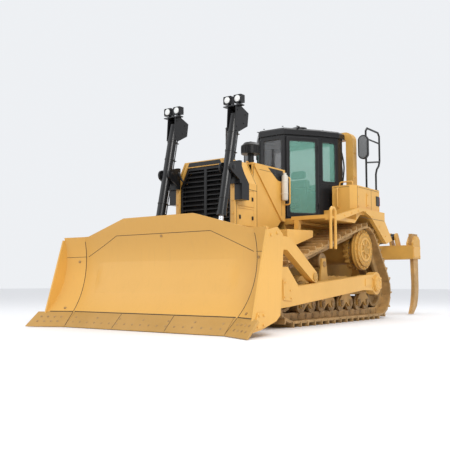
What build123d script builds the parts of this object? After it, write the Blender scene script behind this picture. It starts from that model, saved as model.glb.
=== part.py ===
from build123d import *
import os
from math import atan2, cos, degrees, hypot, radians, sin, tan

# Large crawler bulldozer with raised rear sprockets, a semi-U blade and a three-shank ripper.
# Millimetres. +Z is up, the machine faces -Y and its left side is +X.
# The origin is on the ground, at the middle of the machine's length and width.

os.makedirs("parts", exist_ok=True)

# Driving dimensions of the undercarriage.
TRACK_GAUGE = 2083
SHOE_WIDTH = 560
TRACK_MID_Y = -90
CONTACT_LENGTH = 3200
IDLER_REACH = 505
SPROCKET_REACH = 490
SPROCKET_Y = 950
SPROCKET_Z = 1253
SHOE_COUNT = 42
TRACK_CENTRE_X = TRACK_GAUGE / 2
IDLER_YS = (TRACK_MID_Y - CONTACT_LENGTH / 2, TRACK_MID_Y + CONTACT_LENGTH / 2)
IDLER_Z = IDLER_REACH

# Depths below the grouser tips, towards the inside of the track loop.
SHOE_BACK_DEPTH = 80
BAND_DEPTH = 96
PIN_DEPTH = 142
LINK_DEPTH = 205
LINK_INNER_X = 70
LINK_OUTER_X = 120
RUNNING_GAP = 2

# Driving dimensions of the rollers and the frame that carries them.
ROLLER_COUNT = 8
ROLLER_PITCH = 330
ROLLER_RADIUS = 109
ROLLER_Z = LINK_DEPTH + RUNNING_GAP + ROLLER_RADIUS
ROLLER_FLATS = 14
FLANGE_INNER_X = 130
IDLER_RADIUS = 281
FRAME_HALF_WIDTH = 142
BOGIE_X = 165
CARRIER_Y = -540

# Driving dimensions of the blade and of the arms that push it.
BLADE_EDGE_Y = -3580
BEND_X = 1476
WING_TIP_X = 2012
WING_ANGLE = 28.6
END_PLATE_X = 1890
TRUNNION_Y = 830
TRUNNION_Z = 650
ARM_INNER_X = 1390
ARM_OUTER_X = 1530
TRUNNION_RADIUS = 100

# Driving dimensions of the blade's lift cylinders.
LIFT_X = 600
LIFT_TOP_Y = -2310
LIFT_TOP_Z = 2360
LIFT_EYE_Y = -2710
LIFT_EYE_Z = 500
LIFT_BARREL_RADIUS = 70
LIFT_ROD_RADIUS = 38

# Driving dimensions of the hull, the engine hood, the cab and the fenders.
HULL_HALF_WIDTH = 430
HULL_DECK_Z = 1180
CAB_DECK_Z = 1690
PLATFORM_Z = 1750
GUARD_FRONT_Y = -2110
GUARD_BACK_Y = -1500
GUARD_HALF_WIDTH = 577
GUARD_TOP_Z = 2560
HOOD_HALF_WIDTH = 500
HOOD_BACK_Y = -460
CAB_ROOF_Z = 3300
ROPS_FRONT_Y = 990
FENDER_INNER_X = 700
FENDER_OUTER_X = 1400
TANK_OUTER_X = 1300
TANK_TOP_Z = 2380

# Driving dimensions of the ripper.
RIPPER_PIVOT = (2310, 760)
RIPPER_LINK_LENGTH = 1086
RIPPER_LINK_ANGLE = 10
RIPPER_UPPER_RISE = 680
RIPPER_ARM_X = 420
RIPPER_TILT_X = 808
RIPPER_LIFT_X = 620
RIPPER_LIFT_TOP = (2050, 1650)
RIPPER_LIFT_REACH = 860
CYLINDER_EYE_WIDTH = 130
ROD_EYE_WIDTH = 80
ARM_EYE_WIDTH = 100
BEAM_HALF_WIDTH = 1232
BEAM_FRONT_Y = 3370
BEAM_BACK_Y = 3790
BEAM_LOW_Z = 1160
BEAM_TOP_Z = 1440
SHANK_XS = (-1150, 0, 1150)
SHANK_THICKNESS = 76
SHANK_FRONT_Y = 3450
SHANK_BACK_Y = 3760

# Clearances of pins in their bores.
PIN_GAP = 0.5


def save(block, name):
    """Label a finished piece and write it to its own file."""
    block.part.label = name
    export_step(block.part, f"parts/{name}.step")


def side_plate(outline, x_from, x_to, mode=Mode.ADD):
    """A plate with a side outline of (y, z) points, from one x to another."""
    with BuildSketch(Plane.YZ.offset(x_from)) as sketch:
        Polygon(*outline)
    extrude(sketch.sketch, amount=x_to - x_from, mode=mode)


def front_plate(outline, y_from, y_to, mode=Mode.ADD):
    """A plate with a front outline of (x, z) points, from one y to another."""
    with BuildSketch(Plane.XZ.offset(-y_from)) as sketch:
        Polygon(*outline)
    extrude(sketch.sketch, amount=y_from - y_to, mode=mode)


def top_plate(outline, z_from, z_to, mode=Mode.ADD):
    """A plate with a plan outline of (x, y) points, from one height to another."""
    with BuildSketch(Plane.XY.offset(z_from)) as sketch:
        Polygon(*outline)
    extrude(sketch.sketch, amount=z_to - z_from, mode=mode)


def block_between(low, high, mode=Mode.ADD):
    """A block between any two opposite corners."""
    size = [abs(high[axis] - low[axis]) for axis in range(3)]
    middle = [(high[axis] + low[axis]) / 2 for axis in range(3)]
    with Locations(tuple(middle)):
        Box(*size, mode=mode)


def cross_pin(place, radius, x_from, x_to, mode=Mode.ADD):
    """A round bar or bore along X through a (y, z) place."""
    with BuildSketch(Plane.YZ.offset(x_from)) as sketch:
        with Locations(place):
            Circle(radius)
    extrude(sketch.sketch, amount=x_to - x_from, mode=mode)


def link_plate(first, first_radius, second, second_radius, x_from, x_to, mode=Mode.ADD):
    """A plate that tapers between two round ends at (y, z) places."""
    with BuildSketch(Plane.YZ.offset(x_from)) as sketch:
        with BuildLine():
            CenterArc(first, first_radius, 0, 360)
            CenterArc(second, second_radius, 0, 360)
        make_hull()
    extrude(sketch.sketch, amount=x_to - x_from, mode=mode)


def ear_plate(place, radius, root_from, root_to, x_from, x_to):
    """A plate with a round tip at a (y, z) place, which spreads to a straight root."""
    with BuildSketch(Plane.YZ.offset(x_from)) as sketch:
        with BuildLine():
            CenterArc(place, radius, 0, 360)
            Line(root_from, root_to)
        make_hull()
    extrude(sketch.sketch, amount=x_to - x_from)


def along(start, end, distance):
    """The (y, z) point at a distance from start towards end."""
    length = hypot(end[0] - start[0], end[1] - start[1])
    share = distance / length
    return (start[0] + (end[0] - start[0]) * share, start[1] + (end[1] - start[1]) * share)


def flat_sided_bar(place, radius, flats, x_from, x_to):
    """A bar along X through a (y, z) place with flats in place of a round face, for what repeats."""
    with BuildSketch(Plane.YZ.offset(x_from)) as sketch:
        with Locations(place):
            RegularPolygon(radius, flats)
    extrude(sketch.sketch, amount=x_to - x_from)


def bar_between(x, start, end, radius, mode=Mode.ADD):
    """A round bar in the plane of one x, between two (y, z) points."""
    length = hypot(end[0] - start[0], end[1] - start[1])
    direction = (0, end[0] - start[0], end[1] - start[1])
    with BuildSketch(Plane(origin=(x, *start), z_dir=direction)) as sketch:
        Circle(radius)
    extrude(sketch.sketch, amount=length, mode=mode)


def tube_along(points, radius, bend):
    """An eight-sided tube along (x, y, z) corners, each cut across at a distance to make its bend."""
    corners = [Vector(*point) for point in points]
    route_points = [corners[0]]
    for before, corner, after in zip(corners, corners[1:], corners[2:]):
        route_points.append(corner + (before - corner).normalized() * bend)
        route_points.append(corner + (after - corner).normalized() * bend)
    route_points.append(corners[-1])
    with BuildLine() as route:
        Polyline(*route_points)
    with BuildSketch(Plane(origin=points[0], z_dir=route.line % 0)) as section:
        RegularPolygon(radius, 8)
    sweep(section.sketch, path=route.line, transition=Transition.RIGHT)


# The tracks, each a chain of straight links with a shoe on every link.
TRACK_WHEELS = (
    (IDLER_YS[0], IDLER_Z, IDLER_REACH),
    (IDLER_YS[1], IDLER_Z, IDLER_REACH),
    (SPROCKET_Y, SPROCKET_Z, SPROCKET_REACH),
)
SHOE_OUTLINE = ((-97, 56), (97, 56), (97, 84), (82, 142), (64, 142), (56, 84), (-97, 84))

with BuildSketch() as pitch_area:
    with BuildLine():
        for wheel_y, wheel_z, reach in TRACK_WHEELS:
            CenterArc((wheel_y, wheel_z), reach - PIN_DEPTH, 0, 360)
    make_hull()
pitch_line = pitch_area.face().outer_wire()


def chain_points(depth):
    """The joints of the chain, moved square to the pitch line to a depth below the grouser tips."""
    points = []
    for joint in range(SHOE_COUNT):
        distance = pitch_line.length * joint / SHOE_COUNT
        spot = pitch_line.position_at(distance, position_mode=PositionMode.LENGTH)
        heading = pitch_line.tangent_at(distance, position_mode=PositionMode.LENGTH)
        outwards = PIN_DEPTH - depth
        points.append((spot.X - heading.Y * outwards, spot.Y + heading.X * outwards))
    return points


joints = chain_points(PIN_DEPTH)
shoe_places = []
for first, second in zip(joints, joints[1:] + joints[:1]):
    middle = ((first[0] + second[0]) / 2, (first[1] + second[1]) / 2)
    shoe_places.append(Location(middle, degrees(atan2(second[1] - first[1], second[0] - first[0]))))

for side, hand in ((1, "left"), (-1, "right")):
    centre = side * TRACK_CENTRE_X
    with BuildPart() as track:
        with BuildSketch(Plane.YZ.offset(centre - SHOE_WIDTH / 2)) as shoes:
            Polygon(*chain_points(SHOE_BACK_DEPTH))
            Polygon(*chain_points(BAND_DEPTH), mode=Mode.SUBTRACT)
            with Locations(*shoe_places):
                Polygon(*SHOE_OUTLINE)
        extrude(amount=SHOE_WIDTH)
        for link_x in (centre - LINK_OUTER_X, centre + LINK_INNER_X):
            with BuildSketch(Plane.YZ.offset(link_x)) as links:
                Polygon(*chain_points(BAND_DEPTH - 1))
                Polygon(*chain_points(LINK_DEPTH), mode=Mode.SUBTRACT)
            extrude(amount=LINK_OUTER_X - LINK_INNER_X)
    save(track, f"track_{hand}")

# The idlers, four of them, each with a hub and with a dished web on its outer side.
with BuildPart() as idlers:
    for side in (1, -1):
        middle_x = side * TRACK_CENTRE_X
        for idler_y in IDLER_YS:
            place = (idler_y, IDLER_Z)
            flat_sided_bar(place, IDLER_RADIUS, 26, middle_x - side * 125, middle_x + side * 50)
            with BuildSketch(Plane.YZ.offset(middle_x + side * 50)) as rim:
                with Locations(place):
                    RegularPolygon(IDLER_RADIUS, 26)
                    RegularPolygon(IDLER_RADIUS - 40, 26, mode=Mode.SUBTRACT)
            extrude(amount=side * 75)
            flat_sided_bar(place, 85, 12, middle_x - BOGIE_X, middle_x + BOGIE_X)
save(idlers, "idlers")

# The bottom rollers and one carrier roller a side, each with a flange on its outer end.
FIRST_ROLLER_Y = TRACK_MID_Y - ROLLER_PITCH * (ROLLER_COUNT - 1) / 2
ROLLER_YS = [FIRST_ROLLER_Y + ROLLER_PITCH * number for number in range(ROLLER_COUNT)]
STRAND_SLOPE = atan2(SPROCKET_Z - IDLER_Z, SPROCKET_Y - IDLER_YS[0])
LINK_UNDERSIDE_Z = (
    IDLER_Z
    + tan(STRAND_SLOPE) * (CARRIER_Y - IDLER_YS[0])
    + (IDLER_REACH - LINK_DEPTH - 12) / cos(STRAND_SLOPE)
)
CARRIER_Z = LINK_UNDERSIDE_Z - ROLLER_RADIUS / cos(STRAND_SLOPE) - 5
with BuildPart() as rollers:
    for side in (1, -1):
        for place in [(roller_y, ROLLER_Z) for roller_y in ROLLER_YS] + [(CARRIER_Y, CARRIER_Z)]:
            flat_sided_bar(
                place,
                ROLLER_RADIUS,
                ROLLER_FLATS,
                side * (TRACK_CENTRE_X - BOGIE_X),
                side * (TRACK_CENTRE_X + FLANGE_INNER_X),
            )
            flat_sided_bar(
                place,
                ROLLER_RADIUS + 18,
                ROLLER_FLATS,
                side * (TRACK_CENTRE_X + FLANGE_INNER_X),
                side * (TRACK_CENTRE_X + BOGIE_X),
            )
save(rollers, "rollers")

# The roller frames with their idler yokes, bogies, carrier posts and blade trunnions.
BEAM_OUTLINE = (
    (-1330, 500),
    (-1250, 455),
    (1040, 455),
    (1130, 520),
    (1130, 700),
    (1000, 760),
    (-1200, 760),
    (-1330, 700),
)
with BuildPart() as track_frames:
    for side in (1, -1):
        centre = side * TRACK_CENTRE_X
        side_plate(BEAM_OUTLINE, centre - FRAME_HALF_WIDTH, centre + FRAME_HALF_WIDTH)
        for face in (-1, 1):
            inner = centre + face * BOGIE_X
            outer = centre + face * (BOGIE_X + 28)
            root = centre + face * FRAME_HALF_WIDTH
            side_plate(((-1250, 470), (1060, 470), (1060, 690), (-1250, 690)), root, outer)
            for idler_y, end in ((IDLER_YS[0], -1), (IDLER_YS[1], 1)):
                side_plate(
                    (
                        (idler_y + end * 75, IDLER_Z - 32),
                        (idler_y + end * 75, IDLER_Z + 32),
                        (idler_y + end * 32, IDLER_Z + 75),
                        (idler_y - end * 420, 680),
                        (idler_y - end * 500, 680),
                        (idler_y - end * 500, 480),
                        (idler_y + end * 32, IDLER_Z - 75),
                    ),
                    inner,
                    outer,
                )
            for pair in range(0, ROLLER_COUNT, 2):
                first_y = ROLLER_YS[pair]
                second_y = ROLLER_YS[pair + 1]
                middle_y = (first_y + second_y) / 2
                side_plate(
                    (
                        (first_y - 62, ROLLER_Z - 45),
                        (first_y + 55, ROLLER_Z - 62),
                        (middle_y, ROLLER_Z + 20),
                        (second_y - 55, ROLLER_Z - 62),
                        (second_y + 62, ROLLER_Z - 45),
                        (second_y + 70, ROLLER_Z + 55),
                        (middle_y + 70, 520),
                        (middle_y - 70, 520),
                        (first_y - 70, ROLLER_Z + 55),
                    ),
                    inner,
                    outer,
                )
            side_plate(
                (
                    (CARRIER_Y - 130, 690),
                    (CARRIER_Y + 130, 690),
                    (CARRIER_Y + 62, CARRIER_Z + 40),
                    (CARRIER_Y - 62, CARRIER_Z + 40),
                ),
                inner,
                outer,
            )
        frame_face = side * (TRACK_CENTRE_X + FRAME_HALF_WIDTH)
        cross_pin((TRUNNION_Y, TRUNNION_Z), 150, frame_face, side * (ARM_INNER_X - 30))
        cross_pin((TRUNNION_Y, TRUNNION_Z), TRUNNION_RADIUS, frame_face, side * (ARM_OUTER_X - 10))
        hull_face = side * HULL_HALF_WIDTH
        frame_inside = side * (TRACK_CENTRE_X - FRAME_HALF_WIDTH)
        flat_sided_bar((700, 600), 95, 12, hull_face, frame_inside)
        side_plate(((-1120, 640), (-900, 640), (-900, 760), (-1120, 760)), hull_face, frame_inside)
save(track_frames, "track_frames")

# The final drives: a toothed ring between the links, an inner case and a stepped outer hub.
TOOTH_COUNT = 20
TOOTH_CORNERS = ((-5.1, 318), (-2.2, 362), (2.2, 362), (5.1, 318))
RING_OUTLINE = []
for tooth in range(TOOTH_COUNT):
    for corner_angle, radius in TOOTH_CORNERS:
        angle = radians(360 / TOOTH_COUNT * tooth + corner_angle + 4)
        RING_OUTLINE.append((SPROCKET_Y + radius * cos(angle), SPROCKET_Z + radius * sin(angle)))
DRIVE_PROFILE = (
    (0, 430),
    (262, 430),
    (262, 1172),
    (362, 1172),
    (362, 1240),
    (300, 1240),
    (300, 1272),
    (90, 1272),
    (90, 1287),
    (0, 1287),
)
with BuildPart() as final_drives:
    for side in (1, -1):
        middle = (0, SPROCKET_Y, SPROCKET_Z)
        with BuildSketch(Plane(origin=middle, x_dir=(0, 0, 1), z_dir=(0, side, 0))) as drive_section:
            Polygon(*DRIVE_PROFILE)
        revolve(axis=Axis(middle, (1, 0, 0)))
        side_plate(RING_OUTLINE, side * TRACK_CENTRE_X - 40, side * TRACK_CENTRE_X + 40)
save(final_drives, "final_drives")

# The hull, which carries the engine at the front and the rear case under the cab.
HULL_OUTLINE = (
    (-1980, 760),
    (-1800, 620),
    (1900, 620),
    (2150, 860),
    (2150, 1500),
    (1560, 1500),
    (1560, CAB_DECK_Z),
    (-440, CAB_DECK_Z),
    (-440, HULL_DECK_Z),
    (-2060, HULL_DECK_Z),
    (-2060, 900),
)
with BuildPart() as main_frame:
    side_plate(HULL_OUTLINE, -HULL_HALF_WIDTH, HULL_HALF_WIDTH)
save(main_frame, "main_frame")

with BuildPart() as engine_block:
    block_between((-300, -1380, HULL_DECK_Z), (300, -560, 2250))
save(engine_block, "engine_block")

# The radiator guard, a thick-walled nose that is open to the front and to the back.
GUARD_OUTLINE = (
    (-GUARD_HALF_WIDTH, HULL_DECK_Z),
    (GUARD_HALF_WIDTH, HULL_DECK_Z),
    (GUARD_HALF_WIDTH, 2200),
    (400, GUARD_TOP_Z),
    (-400, GUARD_TOP_Z),
    (-GUARD_HALF_WIDTH, 2200),
)
GUARD_OPENING = (
    (-500, 1260),
    (500, 1260),
    (500, 2170),
    (352, 2470),
    (-352, 2470),
    (-500, 2170),
)
with BuildPart() as radiator_guard:
    front_plate(GUARD_OUTLINE, GUARD_FRONT_Y, GUARD_BACK_Y)
    front_plate(GUARD_OPENING, GUARD_FRONT_Y, GUARD_BACK_Y, mode=Mode.SUBTRACT)
    for side in (1, -1):
        door_face = side * GUARD_HALF_WIDTH
        for low_z, high_z in ((1520, 1790), (1820, 2080)):
            inside = door_face - side * 8
            block_between((door_face, -2030, low_z), (inside, -1590, high_z), mode=Mode.SUBTRACT)
save(radiator_guard, "radiator_guard")

# The louvred grille that closes the front of the guard.
LOUVRE_COUNT = 15
with BuildPart() as grille:
    front_plate(GUARD_OPENING, GUARD_FRONT_Y + 25, GUARD_FRONT_Y + 85)
    with BuildSketch(Plane.XZ.offset(-GUARD_FRONT_Y - 25)) as grille_windows:
        for side in (1, -1):
            Polygon(
                (side * 25, 1300),
                (side * 460, 1300),
                (side * 460, 2160),
                (side * 330, 2425),
                (side * 25, 2425),
            )
    extrude(amount=-60, mode=Mode.SUBTRACT)
    for louvre in range(LOUVRE_COUNT):
        louvre_z = 1345 + louvre * 74
        reach = 470 if louvre_z < 2150 else 470 - (louvre_z - 2150) * 0.49
        with BuildSketch(Plane.YZ.offset(-reach)) as louvre_section:
            Polygon(
                (GUARD_FRONT_Y + 30, louvre_z),
                (GUARD_FRONT_Y + 80, louvre_z + 34),
                (GUARD_FRONT_Y + 80, louvre_z + 46),
                (GUARD_FRONT_Y + 30, louvre_z + 12),
            )
        extrude(amount=2 * reach)
save(grille, "grille")

# The engine hood, a folded sheet that is open below, with a raised diagonal rib on each side.
HOOD_SIDE = (
    (GUARD_BACK_Y, 1480),
    (-900, 1480),
    (-660, CAB_DECK_Z),
    (HOOD_BACK_Y, CAB_DECK_Z),
    (HOOD_BACK_Y, 2570),
    (GUARD_BACK_Y, 2570),
)
HOOD_WALL = 30
with BuildPart() as hood:
    side_plate(HOOD_SIDE, -HOOD_HALF_WIDTH, HOOD_HALF_WIDTH)
    fillet(hood.edges().filter_by(Axis.Z).sort_by(Axis.Y)[-2:], 90)
    side_plate(
        (
            (GUARD_BACK_Y, 1400),
            (HOOD_BACK_Y - HOOD_WALL, 1400),
            (HOOD_BACK_Y - HOOD_WALL, 2570 - HOOD_WALL),
            (GUARD_BACK_Y, 2570 - HOOD_WALL),
        ),
        HOOD_WALL - HOOD_HALF_WIDTH,
        HOOD_HALF_WIDTH - HOOD_WALL,
        mode=Mode.SUBTRACT,
    )
    for side in (1, -1):
        side_plate(
            ((-1470, 2555), (-1425, 2555), (-620, 1720), (-680, 1700), (-1470, 2500)),
            side * HOOD_HALF_WIDTH,
            side * (HOOD_HALF_WIDTH + 22),
        )
save(hood, "hood")

# The exhaust stack with its slanted mouth, and the air precleaner.
with BuildPart() as exhaust_stack:
    with BuildSketch(Plane.XY.offset(GUARD_TOP_Z)) as stack_foot:
        with Locations((225, -1740)):
            Circle(88)
    extrude(amount=40)
    with BuildSketch(Plane.XY.offset(GUARD_TOP_Z)) as stack_tube:
        with Locations((225, -1740)):
            Circle(70)
    extrude(amount=640)
    with BuildSketch(Plane.XY.offset(GUARD_TOP_Z + 60)) as stack_bore:
        with Locations((225, -1740)):
            Circle(62)
    extrude(amount=600, mode=Mode.SUBTRACT)
    slant = Plane(origin=(225, -1740, GUARD_TOP_Z + 570), z_dir=(0, -0.6, 1))
    split(bisect_by=slant, keep=Keep.BOTTOM)
save(exhaust_stack, "exhaust_stack")

with BuildPart() as precleaner:
    with BuildSketch(Plane(origin=(75, -940, 2570), x_dir=(1, 0, 0), z_dir=(0, -1, 0))) as bowl:
        Polygon(
            (0, 0), (85, 0), (85, 30), (55, 30), (55, 260), (160, 260), (160, 400), (110, 455), (0, 455)
        )
    revolve(axis=Axis((75, -940, 0), (0, 0, 1)))
save(precleaner, "precleaner")

# The cab, a hollow prism of posts and sills with its windows and doorways cut.
CAB_FRONT = (250, -140)
CAB_KNEE = (660, 410)
CAB_SIDE = (850, 760)
CAB_BACK = (850, 940)
CAB_WALL = 60
CAB_STEP_Z = 1960
CAB_LOWER_X = 690


def cab_plan(inset, narrow=False):
    """Symmetric plan outline of the cab, moved inwards by an inset; its sill is narrower at the back."""
    with BuildSketch() as plan:
        right = [CAB_FRONT, CAB_KNEE, CAB_SIDE, CAB_BACK]
        if narrow:
            right = [CAB_FRONT, CAB_KNEE, (CAB_LOWER_X, 470), (CAB_LOWER_X, CAB_BACK[1])]
        left = [(-x, y) for x, y in reversed(right)]
        Polygon(*right, *left)
        if inset:
            offset(amount=-inset, kind=Kind.INTERSECTION)
    return plan.sketch


def wall_plane(first, second, side):
    """A plane on the outside of a cab wall, its x along the wall and its y up."""
    run = (side * (second[0] - first[0]), second[1] - first[1], 0)
    outward = (run[1] * side, -run[0] * side, 0)
    return Plane(origin=(side * first[0], first[1], 0), x_dir=run, z_dir=outward)


DOOR_WALL_LENGTH = hypot(CAB_KNEE[0] - CAB_FRONT[0], CAB_KNEE[1] - CAB_FRONT[1])
REAR_WALL_LENGTH = hypot(CAB_SIDE[0] - CAB_KNEE[0], CAB_SIDE[1] - CAB_KNEE[1])
DOOR_FROM = 45
DOOR_TO = DOOR_WALL_LENGTH - 45
DOOR_LOW_Z = 1830
DOOR_HIGH_Z = 3250


def wall_box(plane, run_from, run_to, z_from, z_to, depth_from, depth_to, mode=Mode.ADD):
    """A block on a cab wall, by its run along the wall, its heights and its depths inwards."""
    up = 1 if plane.y_dir.Z > 0 else -1
    with BuildSketch(plane.offset(-depth_from)) as sketch:
        Polygon((run_from, up * z_from), (run_to, up * z_from), (run_to, up * z_to), (run_from, up * z_to))
    extrude(sketch.sketch, amount=depth_from - depth_to, mode=mode)


DOOR_PLANES = [wall_plane(CAB_FRONT, CAB_KNEE, side) for side in (1, -1)]
REAR_PLANES = [wall_plane(CAB_KNEE, CAB_SIDE, side) for side in (1, -1)]
with BuildPart() as cab_frame:
    extrude(cab_plan(0, narrow=True).moved(Location((0, 0, PLATFORM_Z))), amount=CAB_STEP_Z - PLATFORM_Z)
    extrude(cab_plan(0).moved(Location((0, 0, CAB_STEP_Z))), amount=CAB_ROOF_Z - CAB_STEP_Z)
    extrude(
        cab_plan(CAB_WALL, narrow=True).moved(Location((0, 0, PLATFORM_Z + CAB_WALL))),
        amount=CAB_STEP_Z - PLATFORM_Z,
        mode=Mode.SUBTRACT,
    )
    extrude(
        cab_plan(CAB_WALL).moved(Location((0, 0, CAB_STEP_Z + CAB_WALL))),
        amount=CAB_ROOF_Z - CAB_STEP_Z - CAB_WALL,
        mode=Mode.SUBTRACT,
    )
    block_between((-195, -150, 2350), (195, -70, 3230), mode=Mode.SUBTRACT)
    block_between((-620, 870, 2500), (620, 950, 3220), mode=Mode.SUBTRACT)
    for plane in DOOR_PLANES:
        wall_box(plane, DOOR_FROM, DOOR_TO, DOOR_LOW_Z, DOOR_HIGH_Z, -10, CAB_WALL + 10, mode=Mode.SUBTRACT)
    for plane in REAR_PLANES:
        wall_box(plane, 70, REAR_WALL_LENGTH - 50, 2480, 3200, -10, CAB_WALL + 10, mode=Mode.SUBTRACT)
    block_between((-HULL_HALF_WIDTH, -140, CAB_DECK_Z), (HULL_HALF_WIDTH, 940, PLATFORM_Z))
save(cab_frame, "cab_frame")

with BuildPart() as cab_glass:
    block_between((-195, -120, 2350), (195, -110, 3230))
    block_between((-620, 900, 2500), (620, 910, 3220))
    for plane in REAR_PLANES:
        wall_box(plane, 70, REAR_WALL_LENGTH - 50, 2480, 3200, 20, 30)
save(cab_glass, "cab_glass")

with BuildPart() as cab_roof:
    extrude(cab_plan(-35).moved(Location((0, 0, CAB_ROOF_Z))), amount=120)
    chamfer(cab_roof.faces().sort_by(Axis.Z)[-1].edges(), 30)
    with BuildSketch(Plane.XY.offset(CAB_ROOF_Z + 120)) as roof_disc:
        with Locations((360, 220)):
            Circle(130)
    extrude(amount=32)
save(cab_roof, "cab_roof")

# The doors lie on the outside of their walls and hinge at their rear edges.
DOOR_LAP = 12
DOOR_OUTSIDE = -34
DOOR_INSIDE = -4
HINGE_ZS = (2020, 3060)
HINGE_LENGTH = 110
HINGE_RADIUS = 16
for plane, hand in zip(DOOR_PLANES, ("left", "right")):
    frame_from = DOOR_FROM - DOOR_LAP
    frame_to = DOOR_TO + DOOR_LAP
    frame_low = DOOR_LOW_Z - DOOR_LAP
    frame_high = DOOR_HIGH_Z + DOOR_LAP
    pane = (frame_from + 60, frame_to - 60, frame_low + 70, frame_high - 70)
    with BuildPart() as cab_door:
        wall_box(plane, frame_from, frame_to, frame_low, frame_high, DOOR_OUTSIDE, DOOR_INSIDE)
        wall_box(plane, *pane, DOOR_OUTSIDE, DOOR_INSIDE, mode=Mode.SUBTRACT)
        hinge = plane.from_local_coords((frame_to, 0, -DOOR_OUTSIDE))
        for knuckle_z in HINGE_ZS:
            with BuildSketch(Plane.XY.offset(knuckle_z - HINGE_LENGTH / 2)) as knuckle:
                with Locations((hinge.X, hinge.Y)):
                    Circle(HINGE_RADIUS)
            extrude(amount=HINGE_LENGTH)
    save(cab_door, f"cab_door_{hand}")
    with BuildPart() as door_glass:
        wall_box(plane, *pane, DOOR_OUTSIDE + 10, DOOR_INSIDE - 10)
    save(door_glass, f"door_glass_{hand}")

# The operator's seat and the consoles beside it.
with BuildPart() as operator_seat:
    block_between((-170, 330, PLATFORM_Z + CAB_WALL), (170, 680, 2090))
    block_between((-250, 280, 2090), (250, 760, 2210))
    side_plate(((690, 2210), (810, 2210), (850, 2780), (760, 2800)), -240, 240)
    fillet(operator_seat.edges().filter_by(Axis.X).group_by(Axis.Z)[-1], 35)
save(operator_seat, "operator_seat")

with BuildPart() as consoles:
    for side in (1, -1):
        block_between((side * 280, 350, PLATFORM_Z + CAB_WALL), (side * 430, 740, 2290))
        for radius, z_from, z_to in ((18, 2290, 2400), (36, 2400, 2465)):
            with BuildSketch(Plane.XY.offset(z_from)) as stick:
                with Locations((side * 355, 400)):
                    RegularPolygon(radius, 10)
            extrude(amount=z_to - z_from)
    floor_z = PLATFORM_Z + CAB_WALL
    side_plate(((-20, floor_z), (110, floor_z), (60, 2320), (-20, 2380)), -170, 170)
save(consoles, "consoles")

# The rollover structure behind the cab.
with BuildPart() as rops_frame:
    with BuildSketch(Plane.XZ.offset(-ROPS_FRONT_Y)) as hoop:
        with BuildLine():
            Polyline((1040, TANK_TOP_Z), (1040, 3450), (-1040, 3450), (-1040, TANK_TOP_Z), close=True)
        make_face()
        fillet(hoop.vertices().group_by(Axis.Y)[-1], 160)
        Polygon((900, TANK_TOP_Z), (900, 3310), (-900, 3310), (-900, TANK_TOP_Z), mode=Mode.SUBTRACT)
    extrude(amount=-160)
save(rops_frame, "rops_frame")

# The fenders with their walkways, and the boxes and tanks that stand on them.
FENDER_OUTLINE = (
    (-670, CAB_DECK_Z),
    (420, CAB_DECK_Z),
    (633, 1850),
    (950, 1872),
    (1300, 1700),
    (1620, 1400),
    (1883, 1458),
    (1540, 1800),
    (1540, 1955),
    (480, 1955),
    (480, PLATFORM_Z),
    (-670, PLATFORM_Z),
)
SKIRT_OUTLINE = (
    (-670, 1665),
    (-340, 1675),
    (633, 1915),
    (917, 1842),
    (1255, 1616),
    (1608, 1380),
    (1883, 1458),
    (1540, 1800),
    (1540, 1955),
    (480, 1955),
    (-380, PLATFORM_Z + 8),
    (-670, PLATFORM_Z + 8),
)
with BuildPart() as fenders:
    for side in (1, -1):
        side_plate(FENDER_OUTLINE, side * FENDER_INNER_X, side * 1330)
        side_plate(SKIRT_OUTLINE, side * 1330, side * FENDER_OUTER_X)
        hull_face = side * HULL_HALF_WIDTH
        block_between((hull_face, -440, CAB_DECK_Z - 40), (side * FENDER_INNER_X, 940, CAB_DECK_Z + 58))
        step_outline = ((-1490, 1175), (-690, 1395), (-690, 1500), (-1490, 1470))
        side_plate(step_outline, side * 620, side * 1120)
        strut_outline = ((-690, 1400), (-640, 1410), (-560, CAB_DECK_Z), (-670, CAB_DECK_Z))
        side_plate(strut_outline, side * 760, side * 840)
        block_between((hull_face, -1300, 1300), (side * 620, -1180, 1440))
save(fenders, "fenders")

with BuildPart() as side_tanks:
    for side in (1, -1):
        with BuildSketch(Plane.XY.offset(1955)) as tank_plan:
            Polygon(
                (side * 870, 480),
                (side * 1210, 480),
                (side * TANK_OUTER_X, 600),
                (side * TANK_OUTER_X, 1540),
                (side * 870, 1540),
            )
        extrude(amount=TANK_TOP_Z - 1955)
save(side_tanks, "side_tanks")

with BuildPart() as fuel_tank:
    side_plate(
        (
            (1130, CAB_DECK_Z),
            (1560, CAB_DECK_Z),
            (1560, 1500),
            (1850, 1500),
            (1930, 1800),
            (1900, 2250),
            (1840, 2330),
            (1130, 2330),
        ),
        -690,
        690,
    )
save(fuel_tank, "fuel_tank")

# Rails, work lamp brackets and the step hoops on the fenders.
with BuildPart() as guard_rails:
    for side in (1, -1):
        rail_x = side * 1270
        tube_along(
            (
                (rail_x, 1480, TANK_TOP_Z),
                (rail_x, 1480, 2750),
                (rail_x, 1660, 2900),
                (rail_x, 1660, 3500),
                (rail_x, 1060, 3500),
                (rail_x, 1060, TANK_TOP_Z),
            ),
            19,
            60,
        )
        tube_along(((rail_x, 1060, 2850), (rail_x, 1660, 2950)), 16, 0)
        tube_along(((rail_x, 1060, 3300), (rail_x, 1660, 3300)), 16, 0)
save(guard_rails, "guard_rails")

STEP_HOOP = ((-660, 1200), (-660, 1860), (-500, 1860), (-500, 1200))
with BuildPart() as step_hoops:
    for side in (1, -1):
        hoop_x = side * 1425
        hoop_corners = [(hoop_x, hoop_y, hoop_z) for hoop_y, hoop_z in STEP_HOOP]
        tube_along(hoop_corners, 25, 45)
        block_between((side * FENDER_OUTER_X, -680, 1690), (hoop_x, -480, 1730))
save(step_hoops, "step_hoops")

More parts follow.
